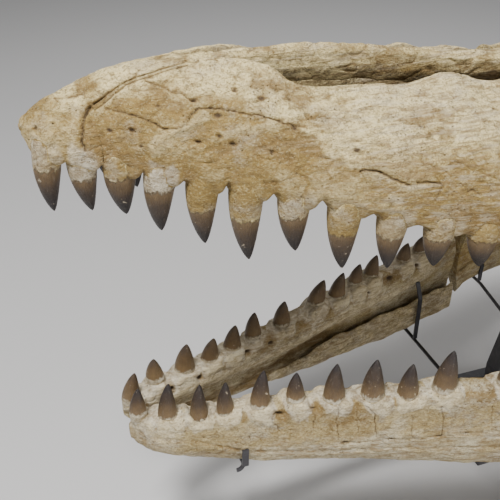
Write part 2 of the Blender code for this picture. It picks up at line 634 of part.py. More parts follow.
def make_stand(group, steel):
    """An H of flat steel on the floor, two posts, long arms, rods and hook clips."""
    floor = -TOOTH_LINE_RISE
    deck = floor + PLATE_THICK
    for side, word in ((-1, "left"), (1, "right")):
        near, far = sorted((side * FOOT_INNER_Y, side * FOOT_OUTER_Y))
        box("stand_foot_" + word, (FOOT_START_X, near, floor), (FOOT_END_X, far, deck), group, steel)
    post_back = POST_X + POST_DEEP + POST_TAPER
    for word, x in (("front", post_back + SEAM), ("rear", REAR_POST_X - (CROSS_WIDE - POST_DEEP) / 2)):
        box("stand_cross_" + word, (x, -FOOT_INNER_Y + SEAM, floor),
            (x + CROSS_WIDE, FOOT_INNER_Y - SEAM, deck), group, steel)
    post_top = upper_z(post_back) - PALATE_BAR_DEEP - 0.0016
    make_post("stand_post_front", ((floor, POST_X, post_back), (-0.100, POST_X, post_back),
                                   (0.010, POST_X + POST_TAPER, post_back),
                                   (post_top, POST_X + POST_TAPER, post_back)), group, steel)
    rear_back = REAR_POST_X + POST_DEEP
    make_post("stand_post_rear", ((deck + SEAM, REAR_POST_X, rear_back),
                                  (REAR_POST_TOP_Z, REAR_POST_X, rear_back)), group, steel)
    box("stand_arm_front", (HOOK_X - BEAM_HALF, -BEAM_HALF, ARM_TOP_Z - BEAM_DEEP),
        (POST_X - SEAM, BEAM_HALF, ARM_TOP_Z), group, steel)
    box("stand_arm_rear", (post_back + SEAM, -BEAM_HALF, ARM_TOP_Z - BEAM_DEEP),
        (REAR_POST_X - SEAM, BEAM_HALF, ARM_TOP_Z), group, steel)
    bar = []
    for x in (-0.020, 0.100, 0.250, 0.400, POST_X, 0.680):
        high = upper_z(x) - 0.001
        low = high - PALATE_BAR_DEEP
        bar.append([place(x, -PALATE_BAR_HALF, low), place(x, PALATE_BAR_HALF, low),
                    place(x, PALATE_BAR_HALF, high), place(x, -PALATE_BAR_HALF, high)])
    loft("stand_palate_bar", bar, group, steel)
    rods = ((1, HOOK_X, LOWER_EDGE_Z, 0.083), (2, CLIP_X, LOWER_EDGE_Z, 0.184),
            (3, STRAP_X, REAR_JAW_LOW_Z, 0.226), (4, TAIL_ROD_X, REAR_JAW_LOW_Z, 0.276))
    for number, x, profile, reach in rods:
        toe = ROD_TOE if number == 1 else 0.0
        cross_rod("stand_rod_%d" % number, x, reach, along(x, profile), toe, group, steel)
    for side, word in ((-1, "left"), (1, "right")):
        outer = lower_y(HOOK_X) + 0.0235
        shift = 0.0 if side > 0 else CLIP_THICK
        low = along(HOOK_X, LOWER_EDGE_Z)
        path = ((side * outer - shift, low), (side * outer - shift, low + 0.020),
                (side * (outer + 0.001) - shift, low + 0.031))
        clip("stand_hook_" + word, HOOK_X, path, 0.009, group, steel)
        low = along(CLIP_X, LOWER_EDGE_Z)
        shift = CLIP_THICK - shift
        inner = lower_y(CLIP_X) - 0.0190
        path = ((side * (inner - 0.0180) - shift, low), (side * (inner - 0.0190) - shift, -0.050),
                (side * (inner - 0.0185) - shift, -0.032), (side * (inner - 0.0045) - shift, -0.006))
        clip("stand_clip_" + word, CLIP_X, path, 0.007, group, steel)
        inner = along(STRAP_X, REAR_JAW_Y) - 0.0150
        low = along(STRAP_X, REAR_JAW_LOW_Z)
        path = ((side * inner - shift, low), (side * inner - shift, low + 0.020),
                (side * (inner - 0.001) - shift, low + 0.036))
        clip("stand_strap_" + word, STRAP_X, path, 0.007, group, steel)


def main():
    for obj in list(bpy.data.objects):
        bpy.data.objects.remove(obj, do_unlink=True)
    skull = bpy.data.collections.new("mosasaur_skull")
    cutters = bpy.data.collections.new("cutters")
    bpy.context.scene.collection.children.link(skull)
    bpy.context.scene.collection.children.link(cutters)
    ochre = material("ochre_bone", (0.52, 0.37, 0.20), 0.75)
    cream = material("cream_bone", (0.66, 0.56, 0.40), 0.75)
    pale = material("pale_bone", (0.70, 0.66, 0.56), 0.80)
    steel = material("black_steel", (0.030, 0.028, 0.032), 0.5)

    make_premaxilla(skull, cutters, ochre)
    make_roof(skull, (cream, ochre))
    make_vomer(skull, cream)
    for side, word in ((-1, "left"), (1, "right")):
        make_maxilla("maxilla_" + word, side, skull, cutters, cream)
        make_cheek(side, word, skull, (cream, ochre))
        make_palate(side, word, skull, cutters, ochre)
        make_dentary("dentary_" + word, side, skull, cutters, pale)
        make_splenial("splenial_" + word, side, skull, cream)
        make_rear_jaw(side, word, skull, (cream, pale, ochre))
    make_stand(skull, steel)


main()
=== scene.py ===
import math

import bpy
import numpy as np
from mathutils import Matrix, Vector


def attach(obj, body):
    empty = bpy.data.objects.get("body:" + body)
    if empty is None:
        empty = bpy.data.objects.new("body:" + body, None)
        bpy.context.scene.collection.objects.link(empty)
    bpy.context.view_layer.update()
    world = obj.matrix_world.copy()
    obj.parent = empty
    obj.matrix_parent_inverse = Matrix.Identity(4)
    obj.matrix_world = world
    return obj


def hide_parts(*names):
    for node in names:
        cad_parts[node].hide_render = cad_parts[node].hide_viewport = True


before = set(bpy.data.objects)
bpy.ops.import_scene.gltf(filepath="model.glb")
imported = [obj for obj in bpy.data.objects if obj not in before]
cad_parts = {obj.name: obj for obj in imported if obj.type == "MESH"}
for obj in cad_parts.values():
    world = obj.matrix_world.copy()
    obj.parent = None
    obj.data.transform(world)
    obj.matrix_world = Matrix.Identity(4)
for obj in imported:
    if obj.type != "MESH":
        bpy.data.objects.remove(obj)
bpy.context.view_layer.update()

# The room and the camera
# A plain pale floor, four soft studio lamps and pale surroundings. The camera stands at the
# photograph's place, ahead of the snout and to its left, looking down on the skull.
FLOOR_HALF = 14.0
FLOOR_TOP = -0.0004
CAMERA_PLACE = (-0.70791, -0.81957, 1.0624)
CAMERA_DOWN = 31.8185
CAMERA_TURN = 19.387


def placed(name, data):
    thing = bpy.data.objects.new(name, data)
    bpy.context.scene.collection.objects.link(thing)
    return thing


floor_mesh = bpy.data.meshes.new("floor")
floor_corners = [(a * FLOOR_HALF, b * FLOOR_HALF, FLOOR_TOP)
                 for a, b in ((-1, -1), (1, -1), (1, 1), (-1, 1))]
floor_mesh.from_pydata(floor_corners, [], [(0, 1, 2, 3)])
floor = placed("floor", floor_mesh)
floor_paint = bpy.data.materials.new("floor_paint")
floor_paint.use_nodes = True
floor_shader = floor_paint.node_tree.nodes["Principled BSDF"]
floor_shader.inputs["Base Color"].default_value = (0.62, 0.61, 0.6, 1.0)
floor_shader.inputs["Roughness"].default_value = 0.85
floor_mesh.materials.append(floor_paint)

camera_data = bpy.data.cameras.new("camera")
camera_data.sensor_width = 36.0
camera_data.lens = 57.6
camera = placed("camera", camera_data)
camera.location = CAMERA_PLACE
camera.rotation_euler = (math.radians(90.0 - CAMERA_DOWN), 0.0, math.radians(-CAMERA_TURN))
bpy.context.scene.camera = camera


def softbox(name, place, aim, size, power):
    """A square lamp that faces its aim."""
    lamp_data = bpy.data.lights.new(name, "AREA")
    lamp_data.size = size
    lamp_data.energy = power
    lamp = placed(name, lamp_data)
    lamp.location = place
    lamp.rotation_euler = (Vector(aim) - Vector(place)).to_track_quat("-Z", "Y").to_euler()


# place, aim, width and power of each lamp
softbox("key_lamp", (-1.3, -0.8, 2.9), (-0.1, 0.0, 0.5), 0.6, 118.0)
softbox("front_lamp", (-1.6, -1.9, 0.9), (0.1, 0.1, 0.3), 1.0, 5.0)
softbox("fill_lamp", (1.3, -2.5, 0.95), (0.0, 0.1, 0.35), 2.0, 42.0)
softbox("back_lamp", (0.8, 2.0, 2.8), (0.0, 0.0, 0.5), 1.6, 26.0)
surroundings = bpy.data.worlds.new("surroundings")
surroundings.use_nodes = True
backdrop = surroundings.node_tree.nodes["Background"]
backdrop.inputs["Color"].default_value = (0.94, 0.96, 1.0, 1.0)
backdrop.inputs["Strength"].default_value = 0.16
bpy.context.scene.world = surroundings


# Bone and enamel
# The bone is mineralised: cream where it was cleaned, ochre and grey in patches, brown in its
# cracks from dirt and painted shade, with white filler round the lower teeth. Enamel is tan below
# and dark at the tip. Painted shade also darkens its holes, grooves and inner walls.
def add_node(tree, kind, settings, links):
    """One node with its settings made, and each input linked to a socket or given a value."""
    made = tree.nodes.new(kind)
    for name, value in settings.items():
        setattr(made, name, value)
    for name, value in links.items():
        if isinstance(value, bpy.types.NodeSocket):
            tree.links.new(value, made.inputs[name])
        else:
            made.inputs[name].default_value = value
    return made


class Wire:
    """One socket of a finish. Sums and products of wires add the Math nodes that they need."""

    def __init__(self, tree, socket=None):
        self.tree = tree
        self.socket = socket

    def node(self, kind, settings=None, links=None, out=0):
        links = {name: value.socket if isinstance(value, Wire) else value
                 for name, value in (links or {}).items()}
        made = add_node(self.tree, "ShaderNode" + kind, settings or {}, links)
        return Wire(self.tree, made.outputs[out] if made.outputs else None)

    def maths(self, operation, first, second=0.0):
        return self.node("Math", {"operation": operation}, {0: first, 1: second})

    def __add__(self, other):
        return self.maths("ADD", self, other)

    def __radd__(self, other):
        return self.maths("ADD", other, self)

    def __sub__(self, other):
        return self.maths("SUBTRACT", self, other)

    def __rsub__(self, other):
        return self.maths("SUBTRACT", other, self)

    def __mul__(self, other):
        return self.maths("MULTIPLY", self, other)

    def __rmul__(self, other):
        return self.maths("MULTIPLY", other, self)

    def between(self, low, high):
        """0 below low, 1 above high and a smooth change between them."""
        return self.node("MapRange", {"interpolation_type": "SMOOTHSTEP"},
                         {"Value": self, "From Min": low, "From Max": high})

    def noise(self, place, scale, detail=4.0, rough=0.6, squeeze=None, swirl=0.0):
        if squeeze:
            place = self.node("VectorMath", {"operation": "MULTIPLY"}, {0: place, 1: squeeze})
        return self.node("TexNoise", {}, {"Vector": place, "Scale": scale, "Detail": detail,
                                          "Roughness": rough, "Distortion": swirl})

    def blend(self, amount, first, second):
        """Two colours mixed."""
        first, second = (colour if isinstance(colour, Wire) else (*colour, 1.0)
                         for colour in (first, second))
        return self.node("Mix", {"data_type": "RGBA"}, {0: amount, 6: first, 7: second}, out=2)

    def ramp(self, stops):
        """The colour that a row of (value, colour) stops has at this value."""
        colour = self.node("ValToRGB", {}, {"Fac": self})
        elements = colour.socket.node.color_ramp.elements
        for _ in stops[2:]:
            elements.new(0.5)
        for element, (position, shade) in zip(elements, stops):
            element.position = position
            element.color = (*shade, 1.0)
        return colour

    def stain(self, name):
        return self.node("Attribute", {"attribute_name": name}, out="Fac")


def blank_finish(name):
    """A new material without nodes, and a wire from which its tree is built."""
    finish = bpy.data.materials.new(name)
    finish.use_nodes = True
    finish.node_tree.nodes.clear()
    return finish, Wire(finish.node_tree)


CREAM, OCHRE, GREY = (0.87, 0.71, 0.35), (0.325, 0.218, 0.064), (0.49, 0.425, 0.31)
PALE_CREAM, PALE_OCHRE, PALE_GREY = (0.62, 0.54, 0.35), (0.44, 0.335, 0.155), (0.41, 0.385, 0.335)
CHALK_WHITE, CHALK_TAN = (0.76, 0.69, 0.54), (0.47, 0.39, 0.27)
RECESS_BROWN, CREST_CREAM = (0.235, 0.145, 0.045), (0.86, 0.71, 0.38)
GRAIN_BROWN, GRAIN_CREAM = (0.25, 0.155, 0.05), (0.9, 0.78, 0.48)
WRINKLE_BROWN, PORE_BROWN = (0.2, 0.12, 0.045), (0.15, 0.09, 0.042)
STRAND_BROWN, STREAK_CREAM = (0.3, 0.195, 0.08), (0.84, 0.75, 0.55)
DIRT_AND_SHADE_BROWN = (0.075, 0.046, 0.024)
CHIP_TAN, GROOVE_TAN = (0.5, 0.42, 0.3), (0.4, 0.32, 0.23)
ENAMEL_STOPS = ((0.0, (0.195, 0.128, 0.06)), (0.2, (0.122, 0.077, 0.036)),
                (0.46, (0.056, 0.036, 0.022)), (0.76, (0.024, 0.017, 0.015)),
                (1.0, (0.016, 0.012, 0.013)))


def bone_finish(name, cream, ochre, grey):
    """Bone below crown 0 and enamel above it, in the colours given for the bone."""
    finish, start = blank_finish(name)
    place = start.node("TexCoord", out="Object")
    dirt_and_shade, filler, crown, tone, fibre, relief = (
        start.stain(stain) for stain in ("dirt_and_shade", "filler", "crown", "tone", "fibre", "relief"))

    # broad patches, then white filler
    patches = start.noise(place, 13.0, 6.0, 0.66)
    colour = start.blend((patches + tone * 0.3).between(0.38, 0.62), cream, ochre)
    clouds = start.noise(place, 21.0, 6.0, 0.7, (1.0, 1.0, 1.6))
    colour = start.blend(clouds.between(0.5, 0.66) * 0.5, colour, grey)
    mottle = start.noise(place, 1.0, 6.0, 0.72, (80.0, 80.0, 118.0), 0.5)
    white = start.blend(mottle.between(0.38, 0.62), CHALK_WHITE, CHALK_TAN)
    chalk = filler + ((clouds - 0.5) * 1.3 + (mottle - 0.5) * 0.9) * filler
    colour = start.blend(chalk.between(0.2, 0.62) * 0.9, colour, white)

    # brown in the recesses and cream on the crests, grain, wrinkles, strands and pores
    bare = 1.0 - filler * 0.45
    recess = ((mottle - 0.5) * 1.8 - relief).between(0.02, 0.8)
    colour = start.blend(recess * bare * 0.84, colour, RECESS_BROWN)
    crest = ((0.5 - mottle) * 1.5 + relief).between(0.06, 0.8)
    colour = start.blend(crest * 0.4, colour, CREST_CREAM)
    grain = start.noise(place, 1.0, 3.0, 0.78, (300.0, 300.0, 420.0), 0.4)
    colour = start.blend(grain.between(0.49, 0.62) * bare * 0.66, colour, GRAIN_BROWN)
    colour = start.blend((1.0 - grain.between(0.36, 0.48)) * 0.24, colour, GRAIN_CREAM)
    folds = start.noise(place, 1.0, 4.0, 0.62, (34.0, 34.0, 92.0), 1.1)
    wrinkle = 1.0 - start.maths("ABSOLUTE", folds - 0.5).between(0.0, 0.022)
    wrinkle = wrinkle * mottle.between(0.44, 0.58) * bare
    colour = start.blend(wrinkle * 0.55, colour, WRINKLE_BROWN)
    strands = start.noise(place, 1.0, 5.0, 0.64, (24.0, 170.0, 250.0))
    colour = start.blend(strands.between(0.47, 0.6) * (fibre * 0.92 + 0.06), colour, STRAND_BROWN)
    streaks = start.noise(place, 1.0, 5.0, 0.62, (15.0, 130.0, 190.0))
    colour = start.blend(streaks.between(0.5, 0.64) * (fibre * 0.44), colour, STREAK_CREAM)
    pores = start.node("TexVoronoi", {"feature": "F1"}, {"Vector": place, "Scale": 160.0},
                       out="Distance")
    pore = (1.0 - pores.between(0.06, 0.2)) * clouds.between(0.46, 0.58)
    colour = start.blend(pore * 0.5, colour, PORE_BROWN)
    # dark brown stain: dirt in the cracks, and painted shade in holes, grooves and on inner walls
    colour = start.blend((dirt_and_shade + (grain - 0.5) * 0.6 * dirt_and_shade).between(0.02, 0.85), colour, DIRT_AND_SHADE_BROWN)

    # enamel with a ragged lower edge, grooves along the crown and small chips
    edge_noise = start.noise(place, 1.0, 5.0, 0.72, (150.0, 150.0, 48.0))
    enamel = (crown + (edge_noise - 0.5) * 0.42).between(0.0, 0.075)
    grooves = start.noise(place, 1.0, 4.0, 0.72, (520.0, 520.0, 26.0))
    cloudy = start.noise(place, 55.0, 4.0, 0.65)
    # tone pales the enamel; on the far lower teeth that paleness is painted light
    shade = crown * (1.15 - tone * 0.75) + (grooves - 0.5) * 0.42 + (cloudy - 0.5) * 0.5
    skin = shade.ramp(ENAMEL_STOPS)
    chips = start.noise(place, 140.0, 3.0, 0.6).between(0.67, 0.72)
    skin = start.blend(chips * 0.85, skin, CHIP_TAN)
    skin = start.blend(grooves.between(0.56, 0.74) * 0.34, skin, GROOVE_TAN)
    colour = start.blend(enamel, colour, skin)

    height = mottle * 1.5 + grain * 0.36 + strands * (fibre * 1.1 + 0.1) - pore * 0.8 - wrinkle * 0.25
    height = height * (1.0 - enamel * 0.9) + grooves * enamel * 0.45
    bump = start.node("Bump", {}, {"Height": height, "Strength": 1.0, "Distance": 0.004})
    gloss = (0.82 - grain * 0.12) * (1.0 - enamel) + enamel * (0.36 + grooves * 0.14)
    shader = start.node("BsdfPrincipled", {}, {
        "Base Color": colour, "Roughness": gloss, "Normal": bump, "Coat Weight": enamel * 0.1,
        "Coat Roughness": 0.25, "Specular IOR Level": 0.34})
    start.node("OutputMaterial", {}, {"Surface": shader})
    return finish


finishes = {"cream_bone": bone_finish("cream_bone", CREAM, OCHRE, GREY),
            "ochre_bone": bone_finish("ochre_bone", CREAM, OCHRE, GREY),
            "pale_bone": bone_finish("pale_bone", PALE_CREAM, PALE_OCHRE, PALE_GREY)}


# Premaxilla
# The tip of the snout with two teeth on each side, and the bar that it sends back between the
# nostrils. It is one bone, wedged between the two maxillae along a grooved suture.
MIDDLE = 0.588           # distances are measured back from the first lower tooth
RISE = 0.31              # and heights up from the front of the lower tooth line
GAPE = 0.24              # fall of the upper tooth line for each metre back
SNOUT_X = -0.088
SEAM_X = -0.014          # where the maxillae begin
FACE_OUT = 0.017         # from a tooth's middle out to the jaw's face
ROOF_Z = ((-0.088, 0.42), (-0.072, 0.437), (-0.042, 0.453), (0.0, 0.467), (0.08, 0.475),
          (0.18, 0.477), (0.3, 0.468), (0.43, 0.446), (0.5, 0.44), (0.62, 0.424),
          (0.85, 0.376), (1.05, 0.336))
SUTURE_Z = ((-0.05, 0.424), (-0.014, 0.4415), (0.0, 0.4485), (0.012, 0.458), (0.02, 0.462),
            (0.05, 0.4685), (0.09, 0.4735))
SUTURE_Y = ((-0.05, 0.034), (-0.014, 0.03), (0.02, 0.027), (0.05, 0.023), (0.09, 0.018))
BAR_HALF = ((0.09, 0.0178), (0.13, 0.0085), (0.16, 0.008), (0.4, 0.0095), (0.505, 0.018))


def along(x, stations):
    """A smooth curve through a profile's stations, held level past its ends."""
    xs, values = np.array(stations).T
    slopes = np.diff(values) / np.diff(xs)
    before = np.append(slopes[:1], slopes)
    after = np.append(slopes, slopes[-1:])
    lean = np.where(before * after > 0, (before + after) / 2, 0.0)
    x = np.clip(x, xs[0], xs[-1])
    i = np.clip(np.searchsorted(xs, x, side="right") - 1, 0, len(xs) - 2)
    h = np.diff(xs)[i]
    t = (x - xs[i]) / h
    return (values[i] * (1 + 2 * t) * (1 - t) ** 2 + lean[i] * h * t * (1 - t) ** 2
            + values[i + 1] * t * t * (3 - 2 * t) + lean[i + 1] * h * t * t * (t - 1))


def ease(value, low, high):
    t = np.clip((value - low) / (high - low), 0.0, 1.0)
    return t * t * (3 - 2 * t)


def upper_z(x):
    return 0.382 - GAPE * x


def lower_z(x):
    return 0.068 * x


def upper_y(x):
    s = np.maximum(x + 0.05, 0.0)
    return 0.024 + 0.01 * np.minimum(s / 0.1, 1.0) + 0.262 * s + 0.036 * s * s


def lower_y(x):
    s = np.maximum(x, 0.0)
    return 0.022 + 0.261 * s + 0.036 * s * s


MIXERS = (374761393, 668265263, 1440662683, 1013904223, 1274126177)


def value_noise(points, size, seed):
    """Smooth noise from -1 to 1, with lumps of the given size."""
    cell = points / size + 0.37 * seed
    base = np.floor(cell).astype(np.int64)
    t = cell - base
    t = t * t * (3 - 2 * t)
    total = np.zeros(len(points))
    for corner in range(8):
        step = np.array([corner & 1, corner >> 1 & 1, corner >> 2 & 1])
        key = base + step
        mixed = key @ np.array(MIXERS[:3]) + seed * MIXERS[3]
        mixed = (mixed ^ (mixed >> 13)) * MIXERS[4]
        mixed = (mixed ^ (mixed >> 16)) & 65535
        weight = np.prod(np.where(step > 0, t, 1 - t), axis=1)
        total += weight * (mixed / 32767.5 - 1)
    return total


def lumps(points, size, seed, octaves=4, stretch=(1.0, 1.0, 1.0)):
    total = np.zeros(len(points))
    for k in range(octaves):
        total += value_noise(points / np.array(stretch), size / 2 ** k, seed + k) / 2 ** k
    return total


def ring_through(corners, shares):
    """Smooth closed rings through the corners of each station, share points from each corner."""
    count = corners.shape[1]
    rings = []
    for i, share in enumerate(shares):
        p0, p1, p2, p3 = (corners[:, (i + j) % count] for j in (-1, 0, 1, 2))
        d0, d1, d2 = (np.sqrt(np.linalg.norm(b - a, axis=1, keepdims=True)) + 1e-4
                      for a, b in ((p0, p1), (p1, p2), (p2, p3)))
        m1 = d1 * ((p1 - p0) / d0 - (p2 - p0) / (d0 + d1) + (p2 - p1) / d1)
        m2 = d1 * ((p2 - p1) / d1 - (p3 - p1) / (d1 + d2) + (p3 - p2) / d2)
        for t in np.arange(share) / share:
            rings.append(p1 * (1 + 2 * t) * (1 - t) ** 2 + m1 * t * (1 - t) ** 2
                         + p2 * t * t * (3 - 2 * t) + m2 * t * t * (t - 1))
    return np.stack(rings, axis=1)


def dome(grid, front, back):
    """Rings that close a grid's two ends in low domes of the given depths."""
    turns = np.radians((20.0, 45.0, 65.0, 82.0))
    ends = []
    for ring, depth, sign in ((grid[0], front, -1), (grid[-1], back, 1)):
        centre = ring.mean(axis=0)
        cap = [centre + (ring - centre) * math.cos(a) + np.array((sign * depth * math.sin(a), 0, 0))
               for a in turns]
        ends.append(cap)
    return np.concatenate([ends[0][::-1], grid, ends[1]])


def lofted(xs, outline, shares, side, front=0.0002, back=0.0002):
    """A grid of points from an outline that gives the left side's (y, z) corners."""
    corners = np.array([[value + 0 * xs for value in pair] for pair in outline(xs)])
    rings = ring_through(corners.transpose(2, 0, 1), shares)
    distance = np.broadcast_to(xs[:, None], rings.shape[:2])
    grid = np.stack([distance, side * rings[:, :, 0], rings[:, :, 1]], axis=2)
    return dome(grid, front, back)


def ends_faded(grid, flat):
    """1 along a grid and 0 on the rings that close its ends: at once at the ends that are square
    (flat names them, back or both), and little by little at the others."""
    row = np.arange(len(grid))
    front = (row > 3) * 1.0 if flat == "both" else ease(row, 1.0, 9.0)
    back = (row[::-1] > 3) * 1.0 if flat else ease(row[::-1], 1.0, 9.0)
    return np.repeat((front * back)[:, None], grid.shape[1], axis=1)


class Surface:
    """One bone while it is shaped: its points, how far each is raised, its stains and teeth."""

    def __init__(self, grid, flat=""):
        self.grid = grid.copy()
        self.points = self.grid.reshape(-1, 3)
        forward = np.gradient(self.grid, axis=0)
        if flat:
            # beside a square end the surface's direction is taken from the bone's own side
            short = np.diff(self.grid[:, 0, 0]) < 0.0003
            for ring in np.flatnonzero(short[1:] != short[:-1]) + 1:
                first = ring - 1 if short[ring] else ring
                forward[ring] = self.grid[first + 1] - self.grid[first]
        around = np.roll(self.grid, -1, 1) - np.roll(self.grid, 1, 1)
        normal = np.cross(around, forward)
        centre = self.grid.mean(axis=1, keepdims=True)
        if ((self.grid - centre) * normal).sum() < 0:
            normal = -normal
        normal = normal.reshape(-1, 3)
        self.normal = normal / (np.linalg.norm(normal, axis=1, keepdims=True) + 1e-12)
        self.rise = np.zeros(len(self.points))
        self.fade = ends_faded(self.grid, flat).ravel()
        self.stains = {name: np.zeros(len(self.points))
                       for name in ("dirt_and_shade", "filler", "tone", "fibre", "relief")}
        self.stains["crown"] = np.full(len(self.points), -1.0)
        self.teeth = []

    def spot(self, x, z, toward):
        """The point of the surface at this distance and height, on the side that faces toward."""
        gap = (self.points[:, 0] - x) ** 2 + (self.points[:, 2] - z) ** 2
        gap += (self.normal[:, 1] * toward < 0.05) * 1.0
        return self.points[np.argmin(gap)]

    def stain(self, name, amount):
        """Stains each point at least this much."""
        self.stains[name] = np.maximum(self.stains[name], amount)

    def reach(self, path, toward, seed=1):
        """Each point's distance from a path of (x, z) pairs that wanders over the surface."""
        wander = 0.0007
        path = np.array(path)
        steps = np.linalg.norm(np.diff(path, axis=0), axis=1)
        places = np.insert(np.cumsum(steps), 0, 0.0)
        count = max(int(places[-1] / 0.003), 2)
        s = np.linspace(0.0, places[-1], count)
        fine = np.stack([np.interp(s, places, path[:, 0]), np.zeros(count),
                         np.interp(s, places, path[:, 1])], axis=1)
        fine[:, 0] += wander * lumps(fine, 0.006, seed, 2)
        fine[:, 2] += wander * lumps(fine, 0.006, seed + 7, 2)
        drawn = np.array([self.spot(x, z, toward) for x, _, z in fine])
        low = drawn.min(axis=0) - 0.012
        high = drawn.max(axis=0) + 0.012
        near = np.all((self.points > low) & (self.points < high), axis=1)
        distance = np.full(len(self.points), 1.0)
        patch = self.points[near]
        best = np.full(len(patch), 1.0)
        for a, b in zip(drawn, drawn[1:]):
            leg = b - a
            t = np.clip((patch - a) @ leg / (leg @ leg + 1e-12), 0.0, 1.0)
            best = np.minimum(best, np.linalg.norm(patch - a - t[:, None] * leg, axis=1))
        distance[near] = best
        return distance

    def crack(self, path, width, depth, toward, dirt_and_shade, seed=1):
        """A groove with a raised lip under it, painted brown at its bottom with dirt and painted shade."""
        groove = np.exp(-(self.reach(path, toward, seed) / width) ** 2)
        groove *= 0.75 + 0.25 * lumps(self.points, 0.008, seed + 3, 2)
        lip = self.reach([(x, z - 2.4 * width) for x, z in path], toward, seed)
        self.rise += 0.4 * depth * np.exp(-(lip / (1.5 * width)) ** 2) - 1.4 * depth * groove
        self.stain("dirt_and_shade", dirt_and_shade * groove)

    def ridge(self, path, width, height, toward):
        self.rise += height * np.exp(-(self.reach(path, toward) / width) ** 2)

    def pit(self, x, z, radius, depth, toward, long=1.5, dirt_and_shade=0.75):
        """A nerve opening or an empty socket, drawn out along the bone and a little slanted."""
        slant = 0.25
        apart = self.points - self.spot(x, z, toward)
        apart[:, 0] /= long
        apart[:, 2] += slant * apart[:, 0]
        away = np.linalg.norm(apart, axis=1) * (1 + 0.25 * lumps(self.points, 0.006, 5, 2)) / radius
        self.rise -= depth * (0.7 * np.exp(-away ** 4) + 0.3 * np.exp(-(away / 1.9) ** 2))
        # the opening is painted dark: painted shade in the hole
        self.stain("dirt_and_shade", dirt_and_shade * np.exp(-(away / 0.85) ** 4))

    def weather(self, seed, big, small, fibre=0.0):
        """The bone's own unevenness: swellings, small lumps, creases and lengthwise fibres."""
        swelling, hump, lump, fold, patch, strand = 0.06, 0.022, 0.0095, 0.019, 0.045, 0.012
        worn = big * lumps(self.points, swelling, seed, 2)
        worn = worn + 0.6 * big * lumps(self.points, hump, seed + 5, 2)
        worn += small * lumps(self.points, lump, seed + 11, 3)
        crease = np.abs(lumps(self.points, fold, seed + 41, 2, (1.6, 1.0, 1.0)))
        some = ease(lumps(self.points, patch, seed + 47, 2), -0.35, 0.55)
        worn -= 1.9 * small * np.exp(-(crease / 0.1) ** 2) * some
        if fibre > 0:
            worn += fibre * lumps(self.points, strand, seed + 23, 3, (6.0, 1.0, 0.8))
        self.rise += worn * self.fade

    def tooth(self, base, height, width, lean, start, direction, inward=0.0, cement=0.2, pale=0.2):
        """A tooth from its sunk root to its tip; the enamel begins at start, past the cement."""
        sides, rings, flutes, flattened, curve = 34, 44, 13, 0.9, 0.13
        root = min(0.019, 0.5 * height)
        sunk = np.array((1.0, 0.93, 0.75, 0.48, 0.22))
        t = np.concatenate([-sunk * root / height, np.sin(np.linspace(0.0, math.pi / 2, rings)) * 0.997])
        out = np.clip(t, 0.0, 1.0)
        radius = 0.5 * width * (1 - out ** 1.6) ** 0.72
        radius[:len(sunk)] *= (0.35, 0.6, 0.82, 0.95, 0.99)
        back = lean * out - curve * height * (out - out * out)
        turn = np.linspace(0.0, 2 * math.pi, sides, endpoint=False)
        keel = np.exp(-((np.abs(np.sin(turn)) / 0.16) ** 2))
        flute = 0.01 * np.cos(flutes * turn)
        window = ease(out, 0.1, 0.4)[:, None] * (1 - out[:, None] * 0.6)
        reach = radius[:, None] * (1 + window * (0.035 * keel + flute))
        x = base[0] + back[:, None] + reach * np.cos(turn)
        y = base[1] + inward * (out * out)[:, None] + flattened * reach * np.sin(turn)
        z = base[2] + direction * height * t[:, None] + 0 * turn
        grid = np.stack([x, y, z], axis=2)
        crown = (t * height - start) / (height - start)
        self.teeth.append((grid, np.repeat(crown, sides), cement, pale))


def grid_faces(rows, columns, first=0):
    """Quads over a closed tube of points, and fans round a pole at each end."""
    r, c = np.meshgrid(np.arange(rows - 1), np.arange(columns), indexing="ij")
    a = r * columns + c
    b = r * columns + (c + 1) % columns
    quads = np.stack([a, b, b + columns, a + columns], axis=2).reshape(-1, 4) + first
    ring = np.arange(columns)
    ahead = (ring + 1) % columns
    poles = first + rows * columns
    last = first + (rows - 1) * columns
    front = np.stack([ahead + first, ring + first, np.full(columns, poles)], axis=1)
    behind = np.stack([ring + last, ahead + last, np.full(columns, poles + 1)], axis=1)
    return quads, np.concatenate([front, behind])


def six_volumes(a, b, c):
    return np.einsum("ij,ij->i", a, np.cross(b, c)).sum()


def mesh_of(name, parts, stains):
    """A mesh of closed tubes of points, with one value of each stain for every point."""
    points, faces, values = [], [], {key: [] for key in stains[0]}
    first = 0
    for grid, marks in zip(parts, stains):
        rows, columns = grid.shape[:2]
        flat = grid.reshape(-1, 3)
        poles = np.stack([grid[0].mean(axis=0), grid[-1].mean(axis=0)])
        quads, fans = grid_faces(rows, columns, first)
        whole = np.concatenate([flat, poles])
        a, b, c, d = whole[quads - first].transpose(1, 0, 2)
        volume = six_volumes(a, b, c) + six_volumes(a, c, d)
        volume += six_volumes(*whole[fans - first].transpose(1, 0, 2))
        if volume < 0:
            quads = quads[:, ::-1]
            fans = fans[:, ::-1]
        points.append(whole)
        faces += quads.tolist() + fans.tolist()
        for key, value in marks.items():
            ends = [value[:columns].mean(), value[-columns:].mean()]
            values[key].append(np.concatenate([value, ends]))
        first += len(whole)
    points = np.concatenate(points) + np.array((-MIDDLE, 0.0, RISE))
    mesh = bpy.data.meshes.new(name)
    mesh.from_pydata(points.tolist(), [], faces)
    for key, value in values.items():
        mesh.attributes.new(key, "FLOAT", "POINT").data.foreach_set("value", np.concatenate(value))
    mesh.shade_smooth()
    mesh.update()
    return mesh


def applied(piece):
    """Gives a piece the mesh that its modifier makes, and removes the modifier."""
    graph = bpy.context.evaluated_depsgraph_get()
    mesh = bpy.data.meshes.new_from_object(piece.evaluated_get(graph))
    piece.modifiers.clear()
    piece.data = mesh
    mesh.shade_smooth()
    return mesh


FULL_RELIEF = 0.0024     # a rise that is stained as far as relief goes
ROOT_TONE = 0.45
BONE_CREASE = math.radians(55)


